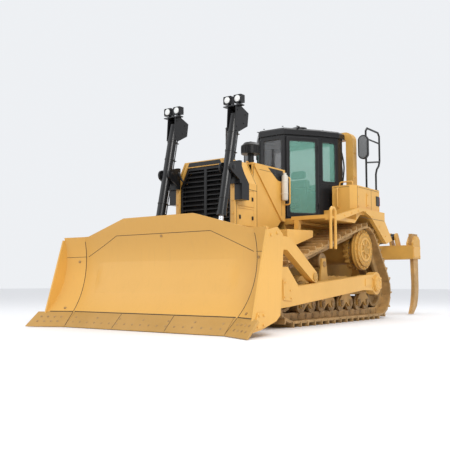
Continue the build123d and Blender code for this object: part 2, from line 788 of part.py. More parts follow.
with BuildPart() as work_lamps:
    for side in (1, -1):
        with BuildSketch(Plane.XZ.offset(-985)) as lamp_face:
            with Locations((side * 1270, 3120)):
                SlotOverall(440, 190, rotation=90)
        extrude(amount=55)
save(work_lamps, "work_lamps")

# The yokes that hold the lift cylinders on the corners of the radiator guard.
LIFT_TOP = (LIFT_TOP_Y, LIFT_TOP_Z)
LIFT_EYE = (LIFT_EYE_Y, LIFT_EYE_Z)
LIFT_LENGTH = hypot(LIFT_EYE_Y - LIFT_TOP_Y, LIFT_EYE_Z - LIFT_TOP_Z)
YOKE_PIN_RADIUS = 40
with BuildPart() as cylinder_yokes:
    for side in (1, -1):
        low_x = side * (LIFT_X - 115)
        high_x = side * (LIFT_X + 115)
        block_between((low_x, GUARD_FRONT_Y - 55, 2140), (high_x, GUARD_FRONT_Y, 2480))
        side_plate(
            (
                (GUARD_FRONT_Y, 1900),
                (GUARD_FRONT_Y + 190, 1900),
                (GUARD_FRONT_Y + 190, 2150),
                (GUARD_FRONT_Y + 60, 2300),
                (GUARD_FRONT_Y, 2400),
            ),
            side * GUARD_HALF_WIDTH,
            high_x,
        )
        for ear in (low_x, high_x - side * 30):
            root_y = GUARD_FRONT_Y - 20
            ear_plate(LIFT_TOP, 85, (root_y, 2170), (root_y, 2470), ear, ear + side * 30)
        cross_pin(LIFT_TOP, YOKE_PIN_RADIUS + PIN_GAP, low_x, high_x, mode=Mode.SUBTRACT)
    front_plate(GUARD_OUTLINE, GUARD_FRONT_Y, GUARD_BACK_Y, mode=Mode.SUBTRACT)
save(cylinder_yokes, "cylinder_yokes")

# The lift cylinders: barrels that swing in the yokes, with two lamps on a bracket at the top.
BARREL_BELOW = 750
BARREL_ABOVE = 850
GLAND_LENGTH = 45
ROD_LENGTH = 1718
PISTON_LENGTH = 50
BRACKET_HALF_WIDTH = LIFT_BARREL_RADIUS + 12
lift_direction = ((LIFT_TOP_Y - LIFT_EYE_Y) / LIFT_LENGTH, (LIFT_TOP_Z - LIFT_EYE_Z) / LIFT_LENGTH)


def lift_point(distance):
    """A (y, z) point on the lift cylinder's axis, measured up from its trunnion."""
    return (LIFT_TOP_Y + lift_direction[0] * distance, LIFT_TOP_Z + lift_direction[1] * distance)


for side, hand in ((1, "left"), (-1, "right")):
    cylinder_x = side * LIFT_X
    with BuildPart() as lift_barrel:
        barrel_foot = lift_point(-BARREL_BELOW)
        bar_between(cylinder_x, barrel_foot, lift_point(BARREL_ABOVE), LIFT_BARREL_RADIUS)
        bar_between(cylinder_x, barrel_foot, lift_point(60 - BARREL_BELOW), LIFT_BARREL_RADIUS + 8)
        cross_pin(LIFT_TOP, YOKE_PIN_RADIUS, cylinder_x - 110, cylinder_x + 110)
        bore_foot = lift_point(GLAND_LENGTH - BARREL_BELOW)
        bar_between(cylinder_x, bore_foot, lift_point(BARREL_ABOVE - 30), 46, mode=Mode.SUBTRACT)
        gland_radius = LIFT_ROD_RADIUS + PIN_GAP
        bar_between(cylinder_x, lift_point(-BARREL_BELOW - 5), bore_foot, gland_radius, mode=Mode.SUBTRACT)
    save(lift_barrel, f"lift_barrel_{hand}")

    with BuildPart() as lift_rod:
        bar_between(cylinder_x, LIFT_EYE, along(LIFT_EYE, LIFT_TOP, ROD_LENGTH), LIFT_ROD_RADIUS)
        piston_from = along(LIFT_EYE, LIFT_TOP, ROD_LENGTH - PISTON_LENGTH)
        bar_between(cylinder_x, piston_from, along(LIFT_EYE, LIFT_TOP, ROD_LENGTH), 45)
        cross_pin(LIFT_EYE, 72, cylinder_x - 45, cylinder_x + 45)
    save(lift_rod, f"lift_rod_{hand}")

    with BuildPart() as lamp_bracket:
        top_y, top_z = lift_point(BARREL_ABOVE)
        for cheek in (-1, 1):
            cheek_x = cylinder_x + cheek * LIFT_BARREL_RADIUS
            side_plate(
                (
                    (top_y - 100, top_z - 260),
                    (top_y + 10, top_z - 260),
                    (top_y + 220, top_z - 150),
                    (top_y + 250, top_z + 60),
                    (top_y + 60, top_z + 135),
                    (top_y - 75, top_z + 135),
                ),
                cheek_x,
                cylinder_x + cheek * BRACKET_HALF_WIDTH,
            )
        side_plate(
            (
                (top_y - 75, top_z + 120),
                (top_y + 60, top_z + 120),
                (top_y + 250, top_z + 45),
                (top_y + 250, top_z + 60),
                (top_y + 60, top_z + 135),
                (top_y - 75, top_z + 135),
            ),
            cylinder_x - BRACKET_HALF_WIDTH,
            cylinder_x + BRACKET_HALF_WIDTH,
        )
        block_between(
            (cylinder_x - 165, top_y - 75, top_z + 120),
            (cylinder_x + 165, top_y + 20, top_z + 135),
        )
        for lamp_side in (-1, 1):
            lamp_x = cylinder_x + lamp_side * 95
            block_between((lamp_x - 14, top_y - 20, top_z + 135), (lamp_x + 14, top_y + 20, top_z + 165))
            block_between((lamp_x - 68, top_y - 70, top_z + 165), (lamp_x + 68, top_y + 30, top_z + 285))
    save(lamp_bracket, f"lamp_bracket_{hand}")

# The blade: a curved moldboard with swept wings, end plates, a boxed back and lugs.
PROFILE_LOW = (206, 222)
PROFILE_MIDDLE = (500, 740)
PROFILE_HIGH = (470, 1360)
PROFILE_TOP = (380, 1605)
PLATE_THICKNESS = 42
BACK_LOW = (PROFILE_LOW[0] + 30, PROFILE_LOW[1] - 30)
BACK_MIDDLE = (PROFILE_MIDDLE[0] + PLATE_THICKNESS, PROFILE_MIDDLE[1])
BACK_HIGH = (PROFILE_HIGH[0] + PLATE_THICKNESS, PROFILE_HIGH[1] + 15)
BACK_TOP = (PROFILE_TOP[0] + PLATE_THICKNESS, PROFILE_TOP[1] + 10)
BOX_BACK = 750
wing_run = (WING_TIP_X - BEND_X) + 60
wing_back = wing_run * tan(radians(WING_ANGLE))


def blade_path():
    """The line of the cutting edge, from the right wing's end to the left wing's end."""
    with BuildLine() as path:
        Polyline(
            (-BEND_X - wing_run, BLADE_EDGE_Y - wing_back, 0),
            (-BEND_X, BLADE_EDGE_Y, 0),
            (BEND_X, BLADE_EDGE_Y, 0),
            (BEND_X + wing_run, BLADE_EDGE_Y - wing_back, 0),
        )
    return path.line


def sweep_blade(section, mode=Mode.ADD):
    """Sweep a section, drawn as (offset behind the edge, height), along the mitred edge line."""
    start = Plane(
        origin=(-BEND_X - wing_run, BLADE_EDGE_Y - wing_back, 0),
        x_dir=(-sin(radians(WING_ANGLE)), cos(radians(WING_ANGLE)), 0),
        z_dir=(cos(radians(WING_ANGLE)), sin(radians(WING_ANGLE)), 0),
    )
    sweep(start * section, path=blade_path(), transition=Transition.RIGHT, mode=mode)


def trim_beyond(reach):
    """Cut off everything that is further out to either side than a reach."""
    for side in (1, -1):
        block_between((side * reach, -4500, -100), (side * 3000, -2000, 2000), mode=Mode.SUBTRACT)


with BuildSketch() as moldboard_section:
    with BuildLine() as moldboard_line:
        ThreePointArc(PROFILE_LOW, PROFILE_MIDDLE, PROFILE_HIGH)
        Line(PROFILE_HIGH, PROFILE_TOP)
        Polyline(PROFILE_TOP, BACK_TOP, BACK_HIGH)
        ThreePointArc(BACK_HIGH, BACK_MIDDLE, BACK_LOW)
        Line(BACK_LOW, PROFILE_LOW)
    make_face()

with BuildSketch() as lower_box_section:
    Polygon((236, 192), (260, 170), (680, 250), (BOX_BACK, 330), (BOX_BACK, 470), (470, 560), (400, 440))

with BuildSketch() as upper_box_section:
    Polygon((545, 980), (660, 1020), (660, 1290), (535, 1330), (560, 1150))

EDGE_LIFT = 8
with BuildSketch() as edge_section:
    Polygon((0, EDGE_LIFT), (28, EDGE_LIFT), (236, 192), (206, 222), (0, EDGE_LIFT + 12))

with BuildPart() as blade:
    sweep_blade(moldboard_section.sketch)
    sweep_blade(lower_box_section.sketch)
    sweep_blade(upper_box_section.sketch)
    trim_beyond(END_PLATE_X)
    front_plate(
        (
            (-2300, 1345),
            (-1500, 1375),
            (-657, 1605),
            (657, 1605),
            (1500, 1375),
            (2300, 1345),
            (2300, 2000),
            (-2300, 2000),
        ),
        -4500,
        -2000,
        mode=Mode.SUBTRACT,
    )
    for side in (1, -1):
        side_plate(
            (
                (-3640, 60),
                (-3430, 90),
                (-3090, 180),
                (-2990, 250),
                (-2970, 570),
                (-2930, 890),
                (-2900, 1170),
                (-2920, 1280),
                (-3040, 1360),
                (-3230, 1320),
                (-3280, 1320),
            ),
            side * END_PLATE_X,
            side * (END_PLATE_X + 30),
        )
        for rib_x in (180, 780, 1130):
            side_plate(
                ((-3170, 440), (-2840, 460), (-2840, 520), (-2930, 1030), (-3028, 1030)),
                side * rib_x,
                side * (rib_x + 30),
            )
        for ear_x in (LIFT_X - 80, LIFT_X + 50):
            ear_plate(LIFT_EYE, 88, (-2900, 370), (-2900, 600), side * ear_x, side * (ear_x + 30))
            lug_outline = ((-3170, 440), (-2840, 440), (-2780, 540), (-3050, 760))
            side_plate(lug_outline, side * ear_x, side * (ear_x + 30))
        for cap_x in (LIFT_X - 96, LIFT_X + 80):
            cross_pin(LIFT_EYE, 45, side * cap_x, side * (cap_x + 16))
    sweep_blade(edge_section.sketch, mode=Mode.SUBTRACT)
save(blade, "blade")

# The cutting edge in three bolted lengths, with the end bits at the wing tips.
with BuildPart() as cutting_edge:
    sweep_blade(edge_section.sketch)
    trim_beyond(WING_TIP_X)
    for joint_x in (-BEND_X, -490, 490, BEND_X):
        block_between((joint_x - 4, -4500, -50), (joint_x + 4, -2500, 400), mode=Mode.SUBTRACT)
save(cutting_edge, "cutting_edge")

# The push arms, from their trunnion ends to the back of the blade.
with BuildPart() as push_arms:
    for side in (1, -1):
        inner = side * ARM_INNER_X
        outer = side * ARM_OUTER_X
        side_plate(
            (
                (780, 520),
                (780, 800),
                (480, 790),
                (-1870, 612),
                (-2160, 880),
                (-2420, 860),
                (BLADE_EDGE_Y + BOX_BACK, 470),
                (BLADE_EDGE_Y + BOX_BACK, 330),
                (-2600, 290),
                (-2170, 320),
                (320, 540),
            ),
            inner,
            outer,
        )
        cross_pin((TRUNNION_Y, TRUNNION_Z), 195, inner, outer)
        cross_pin((TRUNNION_Y, TRUNNION_Z), 150, outer, side * (ARM_OUTER_X + 25))
        cross_pin((TRUNNION_Y, TRUNNION_Z), TRUNNION_RADIUS + PIN_GAP, inner, outer, mode=Mode.SUBTRACT)
save(push_arms, "push_arms")

# The diagonal braces between the top of the blade and the arms.
with BuildPart() as blade_braces:
    for side in (1, -1):
        inner = side * (ARM_INNER_X + 15)
        outer = side * (ARM_OUTER_X - 15)
        side_plate(
            (
                (-2920, 1090),
                (-2920, 1260),
                (-2500, 1320),
                (-2060, 1300),
                (-1300, 815),
                (-1275, 700),
                (-1330, 655),
                (-1430, 690),
                (-2150, 1120),
                (-2500, 1110),
            ),
            inner,
            outer,
        )
save(blade_braces, "blade_braces")

# The ripper: a parallel linkage that carries the beam and its shanks.
rip_cos = cos(radians(RIPPER_LINK_ANGLE))
rip_sin = sin(radians(RIPPER_LINK_ANGLE))


def from_pivot(distance, rise=0):
    """The (y, z) point at a distance along the lower link, raised by a height."""
    return (RIPPER_PIVOT[0] + rip_cos * distance, RIPPER_PIVOT[1] + rip_sin * distance + rise)


LOW_EYE = from_pivot(RIPPER_LINK_LENGTH)
TILT_FOOT = from_pivot(0, RIPPER_UPPER_RISE)
TILT_EYE = from_pivot(RIPPER_LINK_LENGTH, RIPPER_UPPER_RISE)
LIFT_LINK_EYE = from_pivot(RIPPER_LIFT_REACH)
CROSS_TUBE = from_pivot(RIPPER_LIFT_REACH - 240, -50)
EAR_ROOT = ((CROSS_TUBE[0], CROSS_TUBE[1] - 60), (CROSS_TUBE[0], CROSS_TUBE[1] + 60))
PIN_RADIUS = 38
EAR_THICKNESS = 36


def ear_pair(x, width, place, radius, root_from, root_to):
    """Two ears with round tips and flat roots, one each side of an eye of the given width."""
    for face in (-1, 1):
        ear_inner = x + face * (width / 2 + 6)
        ear_plate(place, radius, root_from, root_to, ear_inner, ear_inner + face * EAR_THICKNESS)


def ear_reach(width):
    """Distance from the middle of an eye to the outside of its ears."""
    return width / 2 + 6 + EAR_THICKNESS


with BuildPart() as ripper_mount:
    side_plate(((2150, 620), (2150, 1560), (2205, 1560), (2205, 620)), -930, 930)
    for side in (1, -1):
        block_between((side * 545, 2100, 1340), (side * 695, 2300, 1600), mode=Mode.SUBTRACT)
        ear_pair(side * RIPPER_ARM_X, ARM_EYE_WIDTH, RIPPER_PIVOT, 90, (2180, 640), (2180, 930))
        ear_pair(side * RIPPER_TILT_X, CYLINDER_EYE_WIDTH, TILT_FOOT, 85, (2180, 1330), (2180, 1540))
        ear_pair(side * RIPPER_LIFT_X, CYLINDER_EYE_WIDTH, RIPPER_LIFT_TOP, 80, (2155, 1400), (2200, 1400))
        for place, x, width in (
            (RIPPER_PIVOT, RIPPER_ARM_X, ARM_EYE_WIDTH),
            (TILT_FOOT, RIPPER_TILT_X, CYLINDER_EYE_WIDTH),
            (RIPPER_LIFT_TOP, RIPPER_LIFT_X, CYLINDER_EYE_WIDTH),
        ):
            reach = ear_reach(width)
            cross_pin(place, PIN_RADIUS, side * (x - reach), side * (x + reach))
    side_plate(HULL_OUTLINE, -HULL_HALF_WIDTH, HULL_HALF_WIDTH, mode=Mode.SUBTRACT)
save(ripper_mount, "ripper_mount")

with BuildPart() as ripper_link:
    for side in (1, -1):
        arm_inner = side * (RIPPER_ARM_X - ARM_EYE_WIDTH / 2)
        arm_outer = side * (RIPPER_ARM_X + ARM_EYE_WIDTH / 2)
        link_plate(RIPPER_PIVOT, 88, LOW_EYE, 82, arm_inner, arm_outer)
        ear_pair(side * RIPPER_LIFT_X, ROD_EYE_WIDTH, LIFT_LINK_EYE, 90, *EAR_ROOT)
        for place in (RIPPER_PIVOT, LOW_EYE):
            cross_pin(place, PIN_RADIUS + PIN_GAP, arm_inner, arm_outer, mode=Mode.SUBTRACT)
        cap_from = RIPPER_LIFT_X + ear_reach(ROD_EYE_WIDTH)
        cross_pin(LIFT_LINK_EYE, 45, side * cap_from, side * (cap_from + 14))
    tube_reach = RIPPER_LIFT_X + ear_reach(ROD_EYE_WIDTH)
    flat_sided_bar(CROSS_TUBE, 78, 16, -tube_reach, tube_reach)
save(ripper_link, "ripper_link")

with BuildPart() as ripper_beam:
    side_plate(
        (
            (BEAM_FRONT_Y, BEAM_LOW_Z),
            (BEAM_BACK_Y, BEAM_LOW_Z),
            (BEAM_BACK_Y, BEAM_TOP_Z),
            (BEAM_FRONT_Y, BEAM_TOP_Z),
        ),
        -BEAM_HALF_WIDTH,
        BEAM_HALF_WIDTH,
    )
    for shank_x in SHANK_XS:
        for face in (-1, 1):
            side_plate(
                (
                    (SHANK_FRONT_Y - 40, BEAM_TOP_Z),
                    (SHANK_BACK_Y + 30, BEAM_TOP_Z),
                    (SHANK_BACK_Y + 30, 1560),
                    (SHANK_BACK_Y - 60, 1640),
                    (SHANK_FRONT_Y + 80, 1640),
                    (SHANK_FRONT_Y - 40, 1500),
                ),
                shank_x + face * SHANK_THICKNESS / 2,
                shank_x + face * (SHANK_THICKNESS / 2 + 40),
            )
    for shank_x in SHANK_XS:
        block_between(
            (shank_x - SHANK_THICKNESS / 2, SHANK_FRONT_Y, 1000),
            (shank_x + SHANK_THICKNESS / 2, SHANK_BACK_Y, 1800),
            mode=Mode.SUBTRACT,
        )
    for side in (1, -1):
        for place, x, width, root_z in (
            (LOW_EYE, RIPPER_ARM_X, ARM_EYE_WIDTH, BEAM_LOW_Z + 20),
            (TILT_EYE, RIPPER_TILT_X, ROD_EYE_WIDTH, BEAM_TOP_Z - 20),
        ):
            reach = ear_reach(width)
            ear_pair(side * x, width, place, 82, (3375, root_z), (3600, root_z))
            cross_pin(place, PIN_RADIUS, side * (x - reach), side * (x + reach))
    top_plate(((-110, BEAM_BACK_Y), (110, BEAM_BACK_Y), (80, 3872), (-80, 3872)), 1180, 1300)
    with BuildSketch(Plane.XY.offset(1180)) as tow_hole:
        with Locations((0, 3830)):
            Circle(27)
    extrude(amount=120, mode=Mode.SUBTRACT)
save(ripper_beam, "ripper_beam")

with BuildPart() as ripper_shanks:
    for shank_x in SHANK_XS:
        with BuildSketch(Plane.YZ.offset(shank_x - SHANK_THICKNESS / 2)) as shank_side:
            with BuildLine():
                Polyline(
                    (3535, 700),
                    (3500, BEAM_LOW_Z),
                    (SHANK_FRONT_Y, BEAM_LOW_Z),
                    (SHANK_FRONT_Y, 1690),
                    (SHANK_BACK_Y, 1690),
                    (SHANK_BACK_Y, 700),
                )
                ThreePointArc((SHANK_BACK_Y, 700), (3737, 420), (3640, 170))
                Polyline((3640, 170), (3440, 15), (3330, 15), (3440, 190))
                ThreePointArc((3440, 190), (3512, 430), (3535, 700))
            make_face()
        extrude(amount=SHANK_THICKNESS)
save(ripper_shanks, "ripper_shanks")

EYE_RADIUS = 70
BORE_RADIUS = 46
RIPPER_ROD_RADIUS = 34
RIPPER_BARREL_RADIUS = 62
RIPPER_BARREL_LENGTH = 805
RIPPER_ROD_LENGTH = 935


def cylinder_eye(x, place, width, pin_bore=True):
    """The eye at an end of a cylinder, bored for its pin."""
    cross_pin(place, EYE_RADIUS, x - width / 2, x + width / 2)
    if pin_bore:
        cross_pin(place, PIN_RADIUS + PIN_GAP, x - width / 2, x + width / 2, mode=Mode.SUBTRACT)


for side, hand in ((1, "left"), (-1, "right")):
    tilt_x = side * RIPPER_TILT_X
    with BuildPart() as ripper_tilt_cylinder:
        bar_between(tilt_x, TILT_FOOT, along(TILT_FOOT, TILT_EYE, 720), RIPPER_BARREL_RADIUS)
        bar_between(tilt_x, along(TILT_FOOT, TILT_EYE, 700), TILT_EYE, RIPPER_ROD_RADIUS)
        cylinder_eye(tilt_x, TILT_FOOT, CYLINDER_EYE_WIDTH)
        cylinder_eye(tilt_x, TILT_EYE, ROD_EYE_WIDTH)
    save(ripper_tilt_cylinder, f"ripper_tilt_cylinder_{hand}")

    lift_x = side * RIPPER_LIFT_X
    barrel_end = along(RIPPER_LIFT_TOP, LIFT_LINK_EYE, RIPPER_BARREL_LENGTH)
    with BuildPart() as ripper_lift_barrel:
        bar_between(lift_x, RIPPER_LIFT_TOP, barrel_end, RIPPER_BARREL_RADIUS)
        bar_between(lift_x, along(barrel_end, RIPPER_LIFT_TOP, 60), barrel_end, EYE_RADIUS)
        bar_between(
            lift_x,
            along(RIPPER_LIFT_TOP, LIFT_LINK_EYE, 80),
            along(barrel_end, RIPPER_LIFT_TOP, 40),
            BORE_RADIUS,
            mode=Mode.SUBTRACT,
        )
        bar_between(
            lift_x,
            along(barrel_end, RIPPER_LIFT_TOP, 60),
            along(barrel_end, LIFT_LINK_EYE, 10),
            RIPPER_ROD_RADIUS + PIN_GAP,
            mode=Mode.SUBTRACT,
        )
        cylinder_eye(lift_x, RIPPER_LIFT_TOP, CYLINDER_EYE_WIDTH)
    save(ripper_lift_barrel, f"ripper_lift_barrel_{hand}")

    rod_end = along(LIFT_LINK_EYE, RIPPER_LIFT_TOP, RIPPER_ROD_LENGTH)
    with BuildPart() as ripper_lift_rod:
        bar_between(lift_x, LIFT_LINK_EYE, rod_end, RIPPER_ROD_RADIUS)
        bar_between(lift_x, along(rod_end, LIFT_LINK_EYE, 50), rod_end, BORE_RADIUS - 1)
        cylinder_eye(lift_x, LIFT_LINK_EYE, ROD_EYE_WIDTH, pin_bore=False)
    save(ripper_lift_rod, f"ripper_lift_rod_{hand}")
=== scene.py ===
"""Looks of a large crawler bulldozer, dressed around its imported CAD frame."""

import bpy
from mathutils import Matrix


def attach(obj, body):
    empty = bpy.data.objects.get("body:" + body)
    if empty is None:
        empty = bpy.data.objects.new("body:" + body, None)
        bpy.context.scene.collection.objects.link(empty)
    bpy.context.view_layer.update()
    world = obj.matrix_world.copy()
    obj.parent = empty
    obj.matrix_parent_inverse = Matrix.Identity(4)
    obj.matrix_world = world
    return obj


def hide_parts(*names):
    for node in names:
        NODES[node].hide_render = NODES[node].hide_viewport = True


bl_info = {
    "name": "Crawler bulldozer",
    "version": (1, 0, 0),
    "blender": (4, 5, 0),
    "location": "View3D > Sidebar > Bulldozer",
    "description": "Dresses the bulldozer's frame with bolts, hoses, covers and finishes",
    "category": "Object",
}

import math

import bmesh
import bpy
from bpy.props import FloatProperty, FloatVectorProperty, PointerProperty
from mathutils import Vector

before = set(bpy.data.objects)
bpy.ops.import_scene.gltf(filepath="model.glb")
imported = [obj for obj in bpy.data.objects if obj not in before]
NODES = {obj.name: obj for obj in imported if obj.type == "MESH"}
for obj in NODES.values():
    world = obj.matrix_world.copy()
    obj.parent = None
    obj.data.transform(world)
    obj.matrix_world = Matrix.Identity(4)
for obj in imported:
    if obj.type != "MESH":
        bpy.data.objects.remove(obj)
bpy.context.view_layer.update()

CHASSIS = "chassis"
BLADE = "blade"
SIDES = ((1, "left"), (-1, "right"))
UP = (0, 0, 1)
FRONT = (0, -1, 0)
REAR = (0, 1, 0)
BEVEL_ANGLE = math.radians(40)
SHARP_ANGLE = math.radians(38)


# Mesh makers.


def spread(axis, a, b, c):
    """A point from two coordinates across an axis and one along it."""
    if axis == "x":
        return Vector((c, a, b))
    if axis == "y":
        return Vector((a, c, b))
    return Vector((a, b, c))


def skin(bm, rings, closed=True):
    """Join rings of as many points with faces, and close both ends."""
    for first, second in zip(rings, rings[1:]):
        for here in range(len(first)):
            after = (here + 1) % len(first)
            bm.faces.new((first[here], first[after], second[after], second[here]))
    if closed:
        bm.faces.new(rings[0][::-1])
        bm.faces.new(rings[-1])


def rectangle(low, high):
    """The outline of a rectangle between two opposite corners."""
    return ((low[0], low[1]), (high[0], low[1]), (high[0], high[1]), (low[0], high[1]))


def prism(bm, outline, axis, start, end):
    """A closed plate: an outline of 2-D points carried along an axis."""
    skin(bm, [[bm.verts.new(spread(axis, a, b, along)) for a, b in outline] for along in (start, end)])


def block(bm, corner, opposite):
    """A closed block between two opposite corners."""
    prism(bm, rectangle(corner, opposite), "z", corner[2], opposite[2])


def facing(direction):
    """A rotation that turns +Z to a direction."""
    return Vector((0, 0, 1)).rotation_difference(Vector(direction).normalized()).to_matrix()


def circle(bm, place, turn, radius, height, segments):
    """A ring of points round a turned axis. A radius of nothing gives a single point."""
    if radius <= 0:
        return [bm.verts.new(Vector(place) + turn @ Vector((0, 0, height)))]
    ring = []
    for step in range(segments):
        angle = 2 * math.pi * (step + 0.5) / segments
        offset = Vector((radius * math.cos(angle), radius * math.sin(angle), height))
        ring.append(bm.verts.new(Vector(place) + turn @ offset))
    return ring


def turned(bm, place, direction, profile, segments=24):
    """A closed turned piece: (radius, height) pairs spun round a direction."""
    turn = facing(direction)
    rings = [circle(bm, place, turn, radius, height, segments) for radius, height in profile]
    for first, second in zip(rings, rings[1:]):
        if len(first) == len(second):
            skin(bm, (first, second), closed=False)
            continue
        (point,), ring = sorted((first, second), key=len)
        for step in range(segments):
            bm.faces.new((point, ring[step], ring[(step + 1) % segments]))
    for ring in (rings[0], rings[-1]):
        if len(ring) > 1:
            bm.faces.new(ring)


def plug(bm, place, direction, radius, rise, top_radius, top, segments=16, sunk=0.002):
    """A round plug or pin cap with a chamfered top, sunk a little into what it stands on."""
    turned(bm, place, direction, [(radius, -sunk), (radius, rise), (top_radius, top), (0, top)], segments)


def clamp(bm, place, inner, outer, half, ease, segments=28):
    """An upright clamp band with eased edges, round a pipe or a can."""
    profile = [(inner, -half), (outer, ease - half), (outer, half - ease), (inner, half)]
    turned(bm, place, UP, profile, segments)


def band(bm, place, direction, inner, outer, half, segments=28):
    """A hollow ring round a bar, with its edges eased."""
    turn = facing(direction)
    ease = (outer - inner) * 0.4
    profile = (
        (inner, -half),
        (outer - ease, -half),
        (outer, -half + ease),
        (outer, half - ease),
        (outer - ease, half),
        (inner, half),
    )
    rings = [circle(bm, place, turn, radius, height, segments) for radius, height in profile]
    skin(bm, rings + rings[:1], closed=False)


def oval(across, high, reach, radius, steps, lead=0.0):
    """The (x, z) points of an upright oval with round ends, centred on (across, high)."""
    outline = []
    for step in range(steps):
        angle = 2 * math.pi * (step + lead) / steps
        rise = reach if math.sin(angle) >= 0 else -reach
        outline.append((across + radius * math.cos(angle), high + rise + radius * math.sin(angle)))
    return outline


def rounded_corners(low, high, inset, radius):
    """The corners of a rounded rectangle, as a closed list of points."""
    left, bottom = low[0] + inset, low[1] + inset
    right, top = high[0] - inset, high[1] - inset
    outline = []
    for centre_a, centre_b, first in (
        (right - radius, bottom + radius, -90),
        (right - radius, top - radius, 0),
        (left + radius, top - radius, 90),
        (left + radius, bottom + radius, 180),
    ):
        for step in range(6):
            angle = math.radians(first + 90 * step / 5)
            outline.append((centre_a + radius * math.cos(angle), centre_b + radius * math.sin(angle)))
    outline.append(outline[0])
    return outline


def smooth_path(points, steps=6):
    """Points on a smooth curve that passes through the given ones."""
    points = [Vector(point) for point in points]
    padded = [2 * points[0] - points[1]] + points + [2 * points[-1] - points[-2]]
    path = []
    for before, start, end, after in zip(padded, padded[1:], padded[2:], padded[3:]):
        for step in range(steps):
            t = step / steps
            square = (2 * before - 5 * start + 4 * end - after) * t**2
            cube = (3 * start - before - 3 * end + after) * t**3
            path.append(0.5 * (2 * start + (end - before) * t + square + cube))
    path.append(points[-1])
    return path


def rounded_path(points, radius, steps=5):
    """A path of straight runs with its corners rounded to a radius."""
    points = [Vector(point) for point in points]
    path = [points[0]]
    for before, corner, after in zip(points, points[1:], points[2:]):
        back = (before - corner).normalized()
        ahead = (after - corner).normalized()
        reach = radius / math.tan(max(back.angle(ahead), 0.2) / 2)
        reach = min(reach, (before - corner).length * 0.45, (after - corner).length * 0.45)
        for step in range(steps + 1):
            t = step / steps
            path.append(corner + back * reach * (1 - t) ** 2 + ahead * reach * t**2)
    path.append(points[-1])
    return path


def tube(bm, path, radius, segments=10):
    """A closed round bar along a path. The radius is one value or one for each point."""
    path = [Vector(point) for point in path]
    radii = radius if isinstance(radius, list) else [radius] * len(path)
    tangents = []
    for here in range(len(path)):
        ahead = path[min(here + 1, len(path) - 1)] - path[max(here - 1, 0)]
        tangents.append(ahead.normalized())
    side = tangents[0].orthogonal().normalized()
    rings = []
    for here, (point, tangent) in enumerate(zip(path, tangents)):
        if here:
            side = (tangents[here - 1].rotation_difference(tangent) @ side).normalized()
        other = tangent.cross(side)
        ring = []
        for step in range(segments):
            angle = 2 * math.pi * step / segments
            offset = (side * math.cos(angle) + other * math.sin(angle)) * radii[here]
            ring.append(bm.verts.new(point + offset))
        rings.append(ring)
    skin(bm, rings)


def strip(bm, path, normals, width, height=0.004):
    """A flat closed strip that lies on a surface, sunk into it by half of its height."""
    path = [Vector(point) for point in path]
    if not isinstance(normals, list):
        normals = [Vector(normals)] * len(path)
    rings = []
    for here, point in enumerate(path):
        ahead = path[min(here + 1, len(path) - 1)] - path[max(here - 1, 0)]
        normal = Vector(normals[here]).normalized()
        side = ahead.cross(normal).normalized() * width / 2
        up = normal * height / 2
        corners = (point - side - up, point + side - up, point + side + up, point - side + up)
        rings.append([bm.verts.new(corner) for corner in corners])
    skin(bm, rings)


def side_seam(bm, side, x, start, end, width=0.006, height=0.004):
    """A straight seam on an upright side plate, between two (y, z) points."""
    strip(bm, [(side * x, *start), (side * x, *end)], (side, 0, 0), width, height)


def bolt(bm, place, direction, radius):
    """A hexagon bolt head on its washer."""
    washer = [(radius * 1.45, -radius * 0.1), (radius * 1.45, radius * 0.22)]
    turned(bm, place, direction, washer, 12)
    head = [(radius, radius * 0.2), (radius, radius * 0.85), (radius * 0.82, radius), (0, radius)]
    turned(bm, place, direction, head, 6)


def bolt_circle(bm, centre, direction, pitch_radius, count, radius, start=0.0):
    """Bolts in a circle round a centre."""
    turn = facing(direction)
    for number in range(count):
        angle = start + 2 * math.pi * number / count
        offset = turn @ Vector((pitch_radius * math.cos(angle), pitch_radius * math.sin(angle), 0))
        bolt(bm, Vector(centre) + offset, direction, radius)


def weld(bm, start, end, radius=0.007):
    """A rippled weld bead from one point to another."""
    start, end = Vector(start), Vector(end)
    count = max(4, int((end - start).length / (radius * 1.6)))
    path = [start.lerp(end, step / count) for step in range(count + 1)]
    radii = [radius * (1.0 if step % 2 else 0.86) for step in range(count + 1)]
    tube(bm, path, radii, 6)


def mirrored(build):
    """Let a maker that takes a side build on the left and again on the right."""

    def build_both(bm):
        for side, _ in SIDES:
            build(bm, side)

    return build_both


def piece(name, body, slot, finish, build, bevel=0.0, flat=False, levels=0, **given):
    """Make one mesh piece, give it its finish, and let it ride on a body."""
    bm = bmesh.new()
    build(bm, **given)
    bmesh.ops.recalc_face_normals(bm, faces=bm.faces)
    mesh = bpy.data.meshes.new(name)
    bm.to_mesh(mesh)
    bm.free()
    made = bpy.data.objects.new(name, mesh)
    bpy.context.scene.collection.objects.link(made)
    mesh.materials.append(bpy.data.materials[finish])
    if bevel:
        edge = made.modifiers.new("Edges", "BEVEL")
        edge.width = bevel
        edge.segments = 2
        edge.limit_method = "ANGLE"
        edge.angle_limit = BEVEL_ANGLE
    if levels:
        rounding = made.modifiers.new("Rounding", "SUBSURF")
        rounding.levels = rounding.render_levels = levels
    if not flat:
        mesh.polygons.foreach_set("use_smooth", [True] * len(mesh.polygons))
        mesh.set_sharp_from_angle(angle=SHARP_ANGLE)
    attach(made, body)
    return made


# Finishes.


def add(tree, kind, sockets=None, **settings):
    """Add a shader node, fill its sockets by name or number, and return it."""
    made = tree.nodes.new(kind)
    for name, value in settings.items():
        setattr(made, name, value)
    for key, value in (sockets or {}).items():
        if isinstance(value, bpy.types.NodeSocket):
            tree.links.new(value, made.inputs[key])
        else:
            made.inputs[key].default_value = value
    return made


